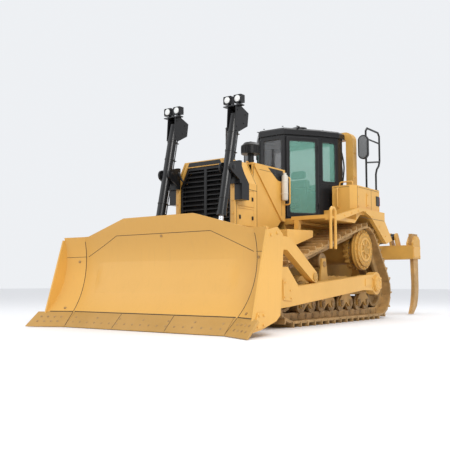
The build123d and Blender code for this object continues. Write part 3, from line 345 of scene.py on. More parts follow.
def mixed(tree, factor, first, second):
    """Mix two colours by a factor and return the colour."""
    made = add(tree, "ShaderNodeMix", data_type="RGBA")
    for key, value in ((0, factor), (6, first), (7, second)):
        if isinstance(value, bpy.types.NodeSocket):
            tree.links.new(value, made.inputs[key])
        else:
            made.inputs[key].default_value = value if key == 0 else (*value, 1.0)[:4]
    return made.outputs[2]


def spanned(tree, value, low, high, to_low=0.0, to_high=1.0):
    """Map a value from one span to another, kept inside it."""
    sockets = {0: value, 1: low, 2: high, 3: to_low, 4: to_high}
    return add(tree, "ShaderNodeMapRange", sockets, clamp=True).outputs[0]


def sum_of(tree, operation, first, second):
    """The result of one sum on two values."""
    return add(tree, "ShaderNodeMath", {0: first, 1: second}, operation=operation).outputs[0]


def group(name, inputs, outputs):
    """An empty shader group with named number inputs and outputs."""
    tree = bpy.data.node_groups.new(name, "ShaderNodeTree")
    for label, default in inputs:
        socket = tree.interface.new_socket(label, in_out="INPUT", socket_type="NodeSocketFloat")
        socket.default_value = default
    for label in outputs:
        tree.interface.new_socket(label, in_out="OUTPUT", socket_type="NodeSocketFloat")
    return tree, tree.nodes.new("NodeGroupInput"), tree.nodes.new("NodeGroupOutput")


def where(tree):
    """The place on the piece, in metres."""
    return add(tree, "ShaderNodeTexCoord").outputs["Object"]


def noise(tree, place, scale, detail, roughness=0.5):
    """A cloudy pattern."""
    sockets = {"Vector": place, "Scale": scale, "Detail": detail, "Roughness": roughness}
    return add(tree, "ShaderNodeTexNoise", sockets).outputs[0]


def ripples(tree, place, scale, direction):
    """Even ripples across a direction."""
    settings = {"wave_type": "BANDS", "bands_direction": direction}
    return add(tree, "ShaderNodeTexWave", {"Vector": place, "Scale": scale}, **settings).outputs["Fac"]


def layered(tree, base, mask, share, colour):
    """Lay a colour over another where a mask shows, up to a share."""
    return mixed(tree, sum_of(tree, "MULTIPLY", mask, share), base, colour)


def make_weathering():
    """Masks of worn edges, settled dust and grime, shared by the paints and the steels."""
    inputs = (("Patch Scale", 1.4), ("Grain Scale", 90.0), ("Edge Radius", 0.006))
    tree, given, result = group("Weathering", inputs, ("Edges", "Dust", "Mottle", "Grain"))
    coordinates = add(tree, "ShaderNodeTexCoord")
    place = coordinates.outputs["Object"]
    edge = add(tree, "ShaderNodeBevel", {0: given.outputs["Edge Radius"]}, samples=4)
    plain = add(tree, "ShaderNodeNewGeometry")
    normals = {0: edge.outputs[0], 1: plain.outputs["Normal"]}
    bend = add(tree, "ShaderNodeVectorMath", normals, operation="DOT_PRODUCT")
    corner = spanned(tree, bend.outputs["Value"], 0.985, 0.8)
    patches = noise(tree, place, given.outputs["Patch Scale"], 7.0, 0.62)
    chipped = spanned(tree, noise(tree, place, 38.0, 4.0, 0.7), 0.42, 0.6)
    tree.links.new(sum_of(tree, "MULTIPLY", corner, chipped), result.inputs["Edges"])
    up = add(tree, "ShaderNodeSeparateXYZ", {0: coordinates.outputs["Normal"]})
    level = spanned(tree, up.outputs["Z"], 0.15, 0.95)
    settled = sum_of(tree, "MULTIPLY", level, spanned(tree, patches, 0.36, 0.62, 0.3, 1.0))
    tree.links.new(settled, result.inputs["Dust"])
    tree.links.new(spanned(tree, patches, 0.3, 0.7), result.inputs["Mottle"])
    tree.links.new(noise(tree, place, given.outputs["Grain Scale"], 3.0), result.inputs["Grain"])


def make_grime():
    """A mask that grows towards the ground, for mud and dust on the lower parts."""
    inputs = (("Top Height", 1.0), ("Bottom Height", 0.1))
    tree, given, result = group("Grime", inputs, ("Mask",))
    place = where(tree)
    height = add(tree, "ShaderNodeSeparateXYZ", {0: place}).outputs["Z"]
    wave = spanned(tree, noise(tree, place, 5.0, 8.0, 0.68), 0.3, 0.7, -0.35, 0.35)
    raised = sum_of(tree, "ADD", height, wave)
    sockets = {0: raised, 1: given.outputs["Top Height"], 2: given.outputs["Bottom Height"]}
    low = add(tree, "ShaderNodeMapRange", sockets, clamp=True).outputs[0]
    tree.links.new(low, result.inputs["Mask"])


def started(name, colour, metallic=0.0, **shader):
    """A new material with its shader, ready for its own nodes."""
    material = bpy.data.materials.new(name)
    material.use_nodes = True
    material.diffuse_color = (*colour, 1.0)
    tree = material.node_tree
    tree.nodes.clear()
    surface = tree.nodes.new("ShaderNodeBsdfPrincipled")
    output = tree.nodes.new("ShaderNodeOutputMaterial")
    tree.links.new(surface.outputs[0], output.inputs[0])
    surface.inputs["Metallic"].default_value = metallic
    for label, value in shader.items():
        surface.inputs[label.replace("_", " ")].default_value = value
    return tree, surface


def placed_group(tree, name, **values):
    """One of the shared groups with this finish's own values."""
    made = add(tree, "ShaderNodeGroup", node_tree=bpy.data.node_groups[name])
    for label, value in values.items():
        made.inputs[label.replace("_", " ")].default_value = value
    return made.outputs


def dressed(tree, surface, base, rough, height=None, strength=0.0, distance=0.0):
    """Feed a colour, a roughness and the height of a fine relief to the shader."""
    tree.links.new(base, surface.inputs["Base Color"])
    if isinstance(rough, bpy.types.NodeSocket):
        tree.links.new(rough, surface.inputs["Roughness"])
    else:
        surface.inputs["Roughness"].default_value = rough
    if height is not None:
        bump = add(tree, "ShaderNodeBump", {"Height": height, "Strength": strength, "Distance": distance})
        tree.links.new(bump.outputs[0], surface.inputs["Normal"])


def scaled(colour, share):
    """A colour made lighter or darker."""
    return tuple(min(1.0, part * share) for part in colour[:3])


def make_paint(
    name, colour, dust, edge, rough=(0.38, 0.52), dust_share=0.35, grime=0.0, coat=0.12, deep=0.78
):
    """Sprayed paint with mottling, dust on its upper faces and worn edges. Dark paint shines less."""
    tree, surface = started(name, colour, Coat_Weight=coat, Coat_Roughness=0.3)
    surface.inputs["Specular IOR Level"].default_value = 0.5 if max(colour) > 0.1 else 0.22
    worn = placed_group(tree, "Weathering")
    base = mixed(tree, worn["Mottle"], scaled(colour, deep), scaled(colour, 1.06))
    base = layered(tree, base, worn["Dust"], dust_share, dust)
    if grime:
        low = placed_group(tree, "Grime", Top_Height=1.15, Bottom_Height=0.0)
        base = layered(tree, base, low["Mask"], grime, scaled(dust, 0.55))
    base = layered(tree, base, worn["Edges"], 0.55, edge)
    rough = spanned(tree, worn["Mottle"], 0, 1, rough[1], rough[0])
    dressed(tree, surface, base, rough, worn["Grain"], 0.18, 0.0015)


def make_steel(name, colour, rust, edge, metallic, rough=(0.45, 0.75), strength=0.5, patch=9.0):
    """Rough steel with rust and dirt in patches and bright worn edges."""
    tree, surface = started(name, colour, metallic)
    worn = placed_group(tree, "Weathering", Patch_Scale=patch, Grain_Scale=55.0, Edge_Radius=0.008)
    base = mixed(tree, worn["Mottle"], rust, colour)
    base = layered(tree, base, worn["Dust"], 0.35, scaled(colour, 1.35))
    base = layered(tree, base, worn["Edges"], 0.8, edge)
    rough = spanned(tree, worn["Mottle"], 0, 1, rough[1], rough[0])
    dressed(tree, surface, base, rough, worn["Grain"], strength, 0.003)


def make_blade_face(name, colour, dust, edge):
    """Blade paint with fine upright scuffs, a painted highlight over the lower face and painted shade as a
    darker band under its top edge.
    """
    tree, surface = started(name, colour, Coat_Weight=0.1, Coat_Roughness=0.35)
    worn = placed_group(tree, "Weathering", Patch_Scale=0.9)
    place = where(tree)
    stretch = add(tree, "ShaderNodeMapping", {"Vector": place, "Scale": (26.0, 26.0, 1.1)})
    scuffs = noise(tree, stretch.outputs[0], 1.0, 5.0, 0.7)
    height = add(tree, "ShaderNodeSeparateXYZ", {0: place}).outputs["Z"]
    # Painted light: the face is lighter below 0.75 m as a painted highlight, and darker above 1.25 m as
    # painted shade under the top edge.
    base = mixed(tree, spanned(tree, height, 0.75, 1.25), scaled(colour, 1.05), scaled(colour, 0.93))
    base = layered(tree, base, worn["Mottle"], 0.3, scaled(colour, 0.86))
    base = mixed(tree, spanned(tree, scuffs, 0.55, 0.8, 0.0, 0.2), base, dust)
    base = layered(tree, base, worn["Edges"], 0.6, edge)
    rough = spanned(tree, scuffs, 0.3, 0.7, 0.36, 0.54)
    dressed(tree, surface, base, rough, sum_of(tree, "ADD", worn["Grain"], scuffs), 0.12, 0.0015)


def make_tread(name, colour, dust):
    """Walkway paint with a raised diamond tread, with painted shade darkening the plate between the studs.
    """
    tree, surface = started(name, colour)
    worn = placed_group(tree, "Weathering")
    turn = add(tree, "ShaderNodeMapping", {"Vector": where(tree), "Rotation": (0, 0, math.radians(45))})
    pattern = {"Vector": turn.outputs[0], "Scale": 28.0, "Randomness": 0.0}
    studs = add(tree, "ShaderNodeTexVoronoi", pattern)
    raised = spanned(tree, studs.outputs["Distance"], 0.42, 0.25)
    # Painted shade: the plate between the raised studs is made darker than the studs.
    base = mixed(tree, raised, scaled(colour, 0.8), colour)
    base = layered(tree, base, worn["Dust"], 0.5, dust)
    dressed(tree, surface, base, spanned(tree, raised, 0, 1, 0.8, 0.5), raised, 0.6, 0.004)


def make_glass(name, colour, alpha, roughness):
    """Tinted cab glass with a thin film of dust."""
    tree, surface = started(name, colour, IOR=1.45, Alpha=alpha)
    worn = placed_group(tree, "Weathering", Patch_Scale=3.0)
    dressed(tree, surface, layered(tree, colour, worn["Mottle"], 0.25, scaled(colour, 1.25)), roughness)


def make_lens(name, colour):
    """A ribbed lamp lens, with painted shade darkening the troughs between its ribs."""
    tree, surface = started(name, colour, Coat_Weight=0.6, Coat_Roughness=0.05)
    ribs = ripples(tree, where(tree), 26.0, "X")
    # Painted shade: the lens is darker in the troughs between its ribs.
    dressed(tree, surface, mixed(tree, ribs, scaled(colour, 0.72), colour), 0.12, ribs, 0.4, 0.002)


def make_rod(name, colour):
    """Polished rod chrome with faint turning lines."""
    tree, surface = started(name, colour, 1.0)
    lines = noise(tree, where(tree), 220.0, 2.0)
    base = mixed(tree, spanned(tree, lines, 0.3, 0.7, 0.0, 0.3), colour, scaled(colour, 0.8))
    dressed(tree, surface, base, spanned(tree, lines, 0.3, 0.7, 0.12, 0.22))


def make_rubber(name, colour):
    """Hose rubber or moulded plastic with a fine grain."""
    tree, surface = started(name, colour)
    worn = placed_group(tree, "Weathering", Patch_Scale=6.0, Grain_Scale=260.0)
    base = mixed(tree, worn["Mottle"], scaled(colour, 0.8), scaled(colour, 1.3))
    base = layered(tree, base, worn["Dust"], 0.14, (0.35, 0.27, 0.17))
    dressed(tree, surface, base, spanned(tree, worn["Mottle"], 0, 1, 0.62, 0.45), worn["Grain"], 0.3, 0.002)


def make_cloth(name, colour):
    """Woven seat cloth."""
    tree, surface = started(name, colour, Sheen_Weight=0.4, Sheen_Roughness=0.5)
    place = where(tree)
    woven = sum_of(tree, "MULTIPLY", *(ripples(tree, place, 130.0, direction) for direction in "XZ"))
    base = mixed(tree, woven, scaled(colour, 0.6), scaled(colour, 1.6))
    dressed(tree, surface, base, 0.85, woven, 0.5, 0.0012)


def make_finishes(colours):
    """Make every finish from the chosen colours."""
    make_weathering()
    make_grime()
    yellow = tuple(colours.paint)
    black = tuple(colours.cab)
    dust = tuple(colours.dust)
    soot = (0.12, 0.1, 0.08)
    make_paint("Yellow paint", yellow, dust, scaled(yellow, 1.15), dust_share=0.28, deep=0.9)
    worn_yellow = scaled(yellow, 1.1)
    # Painted shade: the undercarriage paint is the yellow made darker, standing in for the shade over the
    # low parts of the machine.
    lower = scaled(yellow, 0.86)
    make_paint("Undercarriage paint", lower, dust, worn_yellow, (0.5, 0.7), 0.4, 0.45, 0.0, 0.7)
    # Painted shade: the ripper, the rollover frame and their mounts get the yellow made darker, standing in
    # for the shade over them.
    rear = scaled(yellow, 0.92)
    make_paint("Ripper paint", rear, dust, worn_yellow, (0.45, 0.6), 0.3, 0.0, 0.05, 0.76)
    make_blade_face("Blade paint", yellow, scaled(dust, 1.2), worn_yellow)
    make_tread("Walkway tread", scaled(yellow, 0.85), dust)
    make_paint("Black paint", black, soot, scaled(black, 4.0), (0.22, 0.36), 0.12, 0.0, 0.12, 0.7)
    enamel, louvre = scaled(black, 0.8), scaled(black, 0.9)
    make_paint("Cylinder enamel", enamel, soot, (0.1, 0.1, 0.1), (0.16, 0.28), 0.1, 0.0, 0.3)
    mud = (0.1, 0.085, 0.07)
    make_paint("Grille black", louvre, mud, scaled(black, 5.0), (0.3, 0.45), 0.2, 0.0, 0.1)
    make_paint("Pale enamel", (0.62, 0.58, 0.5), dust, (0.75, 0.72, 0.65), (0.3, 0.42), 0.15)
    make_paint("Red reflector", (0.55, 0.03, 0.02), dust, (0.6, 0.1, 0.08), (0.15, 0.25), 0.05, 0.0, 0.6)
    make_paint("Silver cap", (0.62, 0.63, 0.64), dust, (0.8, 0.8, 0.8), (0.25, 0.35), 0.1)
    track = tuple(colours.track)
    make_steel("Track steel", track, scaled(track, 0.55), (0.62, 0.5, 0.34), 0.1, patch=6.0)
    make_steel("Roller steel", scaled(track, 0.8), scaled(track, 0.3), (0.5, 0.42, 0.32), 0.15)
    bright, rust = scaled(track, 1.25), scaled(track, 0.7)
    make_steel("Worn steel", bright, rust, (0.72, 0.62, 0.48), 0.3, (0.4, 0.6), 0.3, 4.0)
    head, rust = scaled(track, 0.9), scaled(track, 0.5)
    make_steel("Bolt steel", head, rust, (0.6, 0.5, 0.38), 0.25, (0.4, 0.6), 0.3)
    edge = scaled(yellow, 0.8)
    make_paint("Cutting edge paint", edge, scaled(dust, 0.9), (0.5, 0.42, 0.32), (0.4, 0.6), 0.35)
    pipe, burnt = (0.055, 0.052, 0.05), (0.03, 0.022, 0.018)
    make_steel("Soot steel", pipe, burnt, (0.2, 0.19, 0.18), 0.4, (0.4, 0.62), 0.3)
    make_rod("Rod chrome", (0.78, 0.78, 0.79))
    make_rubber("Hose rubber", (0.02, 0.02, 0.021))
    make_rubber("Dark seam", (0.014, 0.01, 0.007))
    make_rubber("Moulded plastic", (0.035, 0.035, 0.037))
    make_cloth("Seat cloth", (0.045, 0.047, 0.052))
    make_glass("Door glass", tuple(colours.glass), 0.34, 0.06)
    make_glass("Front glass", (0.16, 0.17, 0.18), 0.45, 0.05)
    make_lens("Lamp lens", (0.86, 0.87, 0.85))
    make_lens("Mirror glass", (0.11, 0.115, 0.12))
    make_paint("Engine enamel", (0.06, 0.055, 0.05), dust, (0.2, 0.19, 0.18), (0.4, 0.55), 0.25)


# The blade and its arms.

ARM_SIDE = 1.53
ARM_PIVOT = (0.83, 0.65)
BRACE_PIN = (-1.355, 0.745, 0.062)
EDGE_Y = -3.58
BEND_X = 1.476
WING_ANGLE = math.radians(28.6)
WING_END = 1.89
END_PLATE_THICKNESS = 0.03
ARC_LOW = (0.206, 0.222)
ARC_MIDDLE = (0.5, 0.74)
ARC_HIGH = (0.47, 1.36)
ARC_TOP = (0.38, 1.605)


def arc_centre(first, second, third):
    """The centre of the circle through three points."""
    (ax, ay), (bx, by), (cx, cy) = first, second, third
    d = 2 * (ax * (by - cy) + bx * (cy - ay) + cx * (ay - by))
    a, b, c = ax * ax + ay * ay, bx * bx + by * by, cx * cx + cy * cy
    return (
        (a * (by - cy) + b * (cy - ay) + c * (ay - by)) / d,
        (a * (cx - bx) + b * (ax - cx) + c * (bx - ax)) / d,
    )


ARC_CENTRE = arc_centre(ARC_LOW, ARC_MIDDLE, ARC_HIGH)
ARC_RADIUS = math.dist(ARC_CENTRE, ARC_LOW)


def face_offset(height):
    """How far the blade's face lies behind the edge line at a height."""
    if height < ARC_LOW[1]:
        return ARC_LOW[0] * (height - 0.02) / (ARC_LOW[1] - 0.02)
    if height > ARC_HIGH[1]:
        share = (height - ARC_HIGH[1]) / (ARC_TOP[1] - ARC_HIGH[1])
        return ARC_HIGH[0] + (ARC_TOP[0] - ARC_HIGH[0]) * share
    return ARC_CENTRE[0] + math.sqrt(ARC_RADIUS**2 - (height - ARC_CENTRE[1]) ** 2)


def face_normal(height, angle=0.0):
    """The outward direction of the blade's face at a height, turned by a wing's angle."""
    rise = face_offset(height + 0.005) - face_offset(height - 0.005)
    lean = Vector((0, -0.01, rise)).normalized()
    return Vector((math.sin(angle) * lean.y, math.cos(angle) * lean.y, lean.z))


def face_point(across, height, lift=0.0):
    """A point of the blade's face. Beyond a bend, across runs on along the wing."""
    side = 1 if across >= 0 else -1
    back = face_offset(height)
    bend = BEND_X + back * math.tan(WING_ANGLE / 2)
    if abs(across) <= bend:
        normal = face_normal(height)
        return Vector((across, EDGE_Y + back, height)) + normal * lift, normal
    run = abs(across) - bend
    normal = face_normal(height, side * WING_ANGLE)
    out = side * (bend + run * math.cos(WING_ANGLE))
    place = Vector((out, EDGE_Y + back - run * math.sin(WING_ANGLE), height))
    return place + normal * lift, normal


def face_line(bm, corners, width, height=0.003, steps=14):
    """A seam on the blade's face through (across, height) corners."""
    path = []
    normals = []
    for first, second in zip(corners, corners[1:]):
        for step in range(steps + 1):
            share = step / steps
            across = first[0] + (second[0] - first[0]) * share
            level = first[1] + (second[1] - first[1]) * share
            place, normal = face_point(across, level)
            path.append(place)
            normals.append(normal)
    strip(bm, path, normals, width, height)


def bend_line(side, low, high, steps=22):
    """Points and directions down the bend between the blade's middle and a wing."""
    path = []
    normals = []
    for step in range(steps + 1):
        height = low + (high - low) * step / steps
        back = face_offset(height)
        path.append(Vector((side * (BEND_X + back * math.tan(WING_ANGLE / 2)), EDGE_Y + back, height)))
        normals.append(face_normal(height, side * WING_ANGLE / 2))
    return path, normals


def build_blade_seams(bm):
    """Dark seams along the bends, over the moldboard's top and over the cutting edge."""
    for side in (1, -1):
        path, normals = bend_line(side, 0.225, 1.3)
        strip(bm, path, normals, 0.01)
        face_line(bm, [(side * 1.56, 1.062), (side * 0.895, 1.36)], 0.007)
        face_line(bm, [(side * 1.6, 1.062), (side * 1.93, 1.052)], 0.006)
        face_line(bm, [(side * 1.53, 0.226), (side * 1.9, 0.226)], 0.013, 0.006)
    face_line(bm, [(-0.895, 1.36), (0.895, 1.36)], 0.007)
    face_line(bm, [(-1.5, 0.226), (1.5, 0.226)], 0.013, 0.006)


def build_edge_bolts(bm):
    """Plough bolts through the cutting edge and the end bits."""
    for level in (0.085, 0.15):
        for number in range(-9, 10):
            across = number * 0.152
            if min(abs(across - joint) for joint in (-BEND_X, -0.49, 0.49, BEND_X)) < 0.03:
                continue
            if level > 0.1 and number % 3:
                continue
            place, normal = face_point(across, level)
            plug(bm, place, normal, 0.017, 0.0025, 0.01, 0.004, 12, sunk=0.003)
        for side in (1, -1):
            for number in range(4):
                place, normal = face_point(side * (BEND_X + 0.17 + number * 0.105), level)
                plug(bm, place, normal, 0.019, 0.004, 0.011, 0.0065, 6, sunk=0.003)


def build_edge_joints(bm):
    """Dark joints between the lengths of the cutting edge, and at the heel of each end bit."""
    for across in (-0.49, 0.49):
        face_line(bm, [(across, 0.03), (across, 0.215)], 0.006, 0.004, 2)
    for side in (1, -1):
        path, normals = bend_line(side, 0.03, 0.215, 2)
        strip(bm, path, normals, 0.007, 0.005)


def build_blade_studs(bm):
    """Lifting-eye studs and drain plugs on the blade's face."""
    for across, level in ((0.0, 1.325), (-1.72, 0.985), (1.66, 0.985), (1.7, 0.275), (-1.7, 0.275)):
        place, normal = face_point(across, level)
        plug(bm, place, normal, 0.02, 0.008, 0.013, 0.012, sunk=0.004)


def build_blade_welds(bm):
    """Weld beads along the boxes, ribs and ends on the back of the blade."""
    for side in (1, -1):
        for rib in (0.18, 0.78, 1.13):
            for face in (rib, rib + 0.03):
                weld(bm, (side * face, -2.842, 0.52), (side * face, -2.93, 1.025), 0.008)
        weld(bm, (side * (WING_END - 0.004), -3.05, 0.55), (side * (WING_END - 0.004), -3.03, 0.92), 0.01)
    for level, depth in ((1.022, -2.916), (1.292, -2.916)):
        weld(bm, (-1.4, depth, level), (1.4, depth, level), 0.01)


def build_face_sheet(bm):
    """The thin sheet that covers the blade's face between its bends, where its ribs end."""
    columns, rows = 60, 24
    grid = []
    for row in range(rows + 1):
        height = 0.47 + (1.01 - 0.47) * row / rows
        share = min(max((height - 0.5) / 0.48, 0), 1)
        line = []
        for column in range(columns + 1):
            across = -1.4 + 2.8 * column / columns
            fade = min(1.0, max(0.0, (1.38 - abs(across)) / 0.18))
            lift = 0.0225 * math.sin(math.pi * share) * fade * fade * (3 - 2 * fade)
            line.append(bm.verts.new(face_point(across, height, lift - 0.0012)[0]))
        grid.append(line)
    back = [[bm.verts.new(vertex.co + Vector((0, 0.03, 0))) for vertex in line] for line in grid]
    for layer in (grid, back):
        for low, high in zip(layer, layer[1:]):
            for here in range(columns):
                bm.faces.new((low[here], low[here + 1], high[here + 1], high[here]))
    edges = [[(row, column) for row in range(rows + 1)] for column in (0, columns)]
    edges += [[(row, column) for column in range(columns + 1)] for row in (0, rows)]
    for edge in edges:
        for (row, column), (next_row, next_column) in zip(edge, edge[1:]):
            corners = (grid[row][column], grid[next_row][next_column])
            bm.faces.new((*corners, back[next_row][next_column], back[row][column]))


def build_blade_back(bm):
    """Bolted access covers on the back of the blade's boxes."""
    for across in (-1.3, -0.4, 0.4, 1.3):
        prism(bm, rectangle((across - 0.11, 0.355), (across + 0.11, 0.445)), "y", -2.834, -2.822)
        for corner in (-0.088, 0.088):
            bolt(bm, (across + corner, -2.822, 0.4), REAR, 0.011)


@mirrored
def build_end_plate_trim(bm, side):
    """Edge flats, wear pads and their bolts on the blade's end plates."""
    face = side * (WING_END + END_PLATE_THICKNESS)
    outline = ((-3.6, 0.09), (-3.43, 0.112), (-3.33, 0.15), (-3.36, 0.3), (-3.52, 0.3))
    prism(bm, outline, "x", face, face + side * 0.012)
    for y, z in ((-3.535, 0.135), (-3.4, 0.15), (-3.395, 0.265), (-3.5, 0.265)):
        bolt(bm, (face + side * 0.012, y, z), (side, 0, 0), 0.015)
    for y, z in ((-3.2, 1.255), (-3.055, 1.285)):
        plug(bm, (face, y, z), (side, 0, 0), 0.02, 0.01, 0.012, 0.014)


@mirrored
def build_arm_caps(bm, side):
    """The trunnion caps with their bolts, and the bolts of the arms' clamps."""
    y, z = ARM_PIVOT
    profile = [(0.135, -0.002), (0.135, 0.012), (0.12, 0.018), (0.06, 0.018), (0.05, 0.01), (0, 0.01)]
    turned(bm, (side * 1.555, y, z), (side, 0, 0), profile, 40)
    bolt_circle(bm, (side * 1.567, y, z), (side, 0, 0), 0.095, 8, 0.015, 0.2)
    for ahead in (-0.1666, 0.1666):
        for level in (0.735, 0.575):
            bolt(bm, (side * ARM_SIDE, y + ahead, level), (side, 0, 0), 0.018)


@mirrored
def build_arm_plates(bm, side):
    """A stiffener and a cover plate on the outside of each push arm."""
    face = side * ARM_SIDE
    outline = ((0.36, 0.6), (0.6, 0.615), (0.6, 0.735), (0.36, 0.725))
    prism(bm, outline, "x", face, face + side * 0.01)
    outline = ((-2.3, 0.42), (-2.06, 0.4), (-2.08, 0.56), (-2.24, 0.7), (-2.3, 0.7))
    prism(bm, outline, "x", face, face + side * 0.014)
    for y, z in ((-2.27, 0.46), (-2.1, 0.44), (-2.12, 0.55), (-2.26, 0.66)):
        bolt(bm, (face + side * 0.014, y, z), (side, 0, 0), 0.013)


@mirrored
def build_arm_welds(bm, side):
    """Weld beads along the push arms' edges."""
    face = side * (ARM_SIDE - 0.002)
    weld(bm, (face, 0.46, 0.785), (face, -1.86, 0.608))
    weld(bm, (face, 0.3, 0.542), (face, -2.16, 0.324))


@mirrored
def build_brace_pins(bm, side):
    """Pin caps at both ends of the diagonal braces, with three bolts on the front one."""
    for y, z, radius in (BRACE_PIN, (-2.8, 1.185, 0.055)):
        for face, out in ((1.515, side), (1.405, -side)):
            place = (side * face, y, z)
            plug(bm, place, (out, 0, 0), radius, 0.016, radius * 0.8, 0.022, 24, sunk=0.003)
    bolt_circle(bm, (side * 1.531, *BRACE_PIN[:2]), (side, 0, 0), 0.036, 3, 0.01)


class BULLDOZER_OT_blade(bpy.types.Operator):
    """Dress the blade, its cutting edge, its end plates and its arms"""

    bl_idname = "bulldozer.blade"
    bl_label = "Blade and Arms"

    def execute(self, context):
        piece("blade_seams", BLADE, "dark_plastic", "Dark seam", build_blade_seams, flat=True)
        piece("cutting_edge_joints", BLADE, "dark_plastic", "Dark seam", build_edge_joints, flat=True)
        piece("cutting_edge_bolts", BLADE, "worn_steel", "Bolt steel", build_edge_bolts)
        piece("blade_studs", BLADE, "worn_steel", "Bolt steel", build_blade_studs)
        piece("blade_face_sheet", BLADE, "yellow_paint", "Blade paint", build_face_sheet)
        piece("blade_welds", BLADE, "yellow_paint", "Yellow paint", build_blade_welds)
        piece("blade_back_covers", BLADE, "yellow_paint", "Yellow paint", build_blade_back, 0.002)
        piece("end_plate_trim", BLADE, "yellow_paint", "Blade paint", build_end_plate_trim, 0.002)
        piece("trunnion_caps", BLADE, "yellow_paint", "Yellow paint", build_arm_caps, 0.002)
        piece("push_arm_plates", BLADE, "yellow_paint", "Yellow paint", build_arm_plates, 0.002)
        piece("push_arm_welds", BLADE, "yellow_paint", "Yellow paint", build_arm_welds)
        piece("brace_pins", BLADE, "yellow_paint", "Undercarriage paint", build_brace_pins)
        return {"FINISHED"}


# The undercarriage.

TRACK_X = 1.0415
TRACK_WHEELS = ((-1.69, 0.505, 0.363), (0.95, 1.253, 0.348), (1.51, 0.505, 0.363))
SHOE_COUNT = 42
SHOE_FACE = 0.084
LINK_FACE = 0.12
LINK_OUTLINE = (
    (-0.104, -0.034), (-0.06, -0.052), (0.06, -0.052), (0.104, -0.034),
    (0.104, 0.024), (0.05, 0.042), (-0.05, 0.042), (-0.104, 0.024),
)
ROLLER_YS = [-0.09 + 0.33 * (number - 3.5) for number in range(8)]
ROLLER_Z = 0.316
BOGIE_FACE = 0.193
CARRIER = (-0.54, 0.959)
DRIVE = (0.95, 1.253)


def pitch_runs():
    """The pitch line of a track as straight runs and arcs, from the foot of the front idler."""
    runs = []
    start = -math.pi / 2
    pairs = zip(TRACK_WHEELS, TRACK_WHEELS[1:] + TRACK_WHEELS[:1])
    for (y, z, radius), (next_y, next_z, next_radius) in pairs:
        gap = math.hypot(next_y - y, next_z - z)
        heading = math.atan2(next_z - z, next_y - y)
        tangent = heading + math.pi / 2 + math.asin((next_radius - radius) / gap)
        runs.append(("arc", y, z, radius, start, radius * ((start - tangent) % (2 * math.pi))))
        leave = (y + radius * math.cos(tangent), z + radius * math.sin(tangent))
        arrive = (next_y + next_radius * math.cos(tangent), next_z + next_radius * math.sin(tangent))
        runs.append(("line", leave, arrive, math.dist(leave, arrive)))
        start = tangent
    return runs


PITCH_RUNS = pitch_runs()
PITCH_LENGTH = sum(run[-1] for run in PITCH_RUNS)


def pitch_point(distance):
    """The (y, z) point at a distance along the pitch line."""
    distance %= PITCH_LENGTH
    for run in PITCH_RUNS:
        if distance > run[-1]:
            distance -= run[-1]
            continue
        if run[0] == "arc":
            angle = run[4] - distance / run[3]
            return (run[1] + run[3] * math.cos(angle), run[2] + run[3] * math.sin(angle))
        share = distance / run[3]
        return tuple(first + (second - first) * share for first, second in zip(run[1], run[2]))
    return pitch_point(0)


def shoe_places():
    """The middle, heading and outward direction of every shoe."""
    joints = [Vector((0, *pitch_point(PITCH_LENGTH * number / SHOE_COUNT))) for number in range(SHOE_COUNT)]
    places = []
    for first, second in zip(joints, joints[1:] + joints[:1]):
        heading = (second - first).normalized()
        places.append(((first + second) / 2, heading, Vector((0, -heading.z, heading.y))))
    return places


def build_shoe_bolts(bm, side):
    """Four bolts through every shoe."""
    for middle, heading, outward in shoe_places():
        for across in (-0.098, 0.098):
            for ahead in (-0.06, 0.02):
                place = middle + outward * SHOE_FACE + heading * ahead
                bolt(bm, (side * TRACK_X + across, place.y, place.z), outward, 0.014)


def build_link_pins(bm, side):
    """Pin ends and bushing collars on both faces of the links."""
    for number in range(SHOE_COUNT):
        y, z = pitch_point(PITCH_LENGTH * number / SHOE_COUNT)
        for face in (-1, 1):
            profile = [(0.04, -0.004), (0.04, 0.007), (0.027, 0.012), (0.022, 0.009), (0, 0.009)]
            turned(bm, (side * TRACK_X + face * LINK_FACE, y, z), (face, 0, 0), profile, 14)


def build_link_plates(bm, side):
    """The offset link plates, one over the next, along both faces of the chain."""
    for number, (middle, heading, outward) in enumerate(shoe_places()):
        rise = 0.004 if number % 2 else 0.0
        for face in (-1, 1):
            inner = side * TRACK_X + face * (LINK_FACE - 0.002)
            outline = []
            for ahead, out in LINK_OUTLINE:
                spot = middle + heading * ahead + outward * out
                outline.append((spot.y, spot.z))
            prism(bm, outline, "x", inner, inner + face * (0.006 + rise))


@mirrored
def build_roller_caps(bm, side):
    """The rollers' axle ends on the bogies, with their clamp plates and bolts."""
    roller = [(0.052, -0.003), (0.052, 0.014), (0.04, 0.02), (0.018, 0.02), (0.014, 0.014), (0, 0.014)]
    idler = [(0.066, -0.003), (0.066, 0.016), (0.052, 0.024), (0.02, 0.024), (0.016, 0.018), (0, 0.018)]
    for face in (-1, 1):
        x = side * TRACK_X + face * BOGIE_FACE
        for y in ROLLER_YS:
            turned(bm, (x, y, ROLLER_Z), (face, 0, 0), roller, 20)
            for lean in (-0.036, 0.036):
                bolt(bm, (x, y + lean * 1.15, ROLLER_Z + 0.046), (face, 0, 0), 0.01)
        plug(bm, (x, *CARRIER), (face, 0, 0), 0.048, 0.012, 0.036, 0.018, 20, sunk=0.003)
        for y, z, _ in (TRACK_WHEELS[0], TRACK_WHEELS[2]):
            turned(bm, (x, y, z), (face, 0, 0), idler, 28)
            bolt_circle(bm, (x + face * 0.02, y, z), (face, 0, 0), 0.041, 6, 0.007)


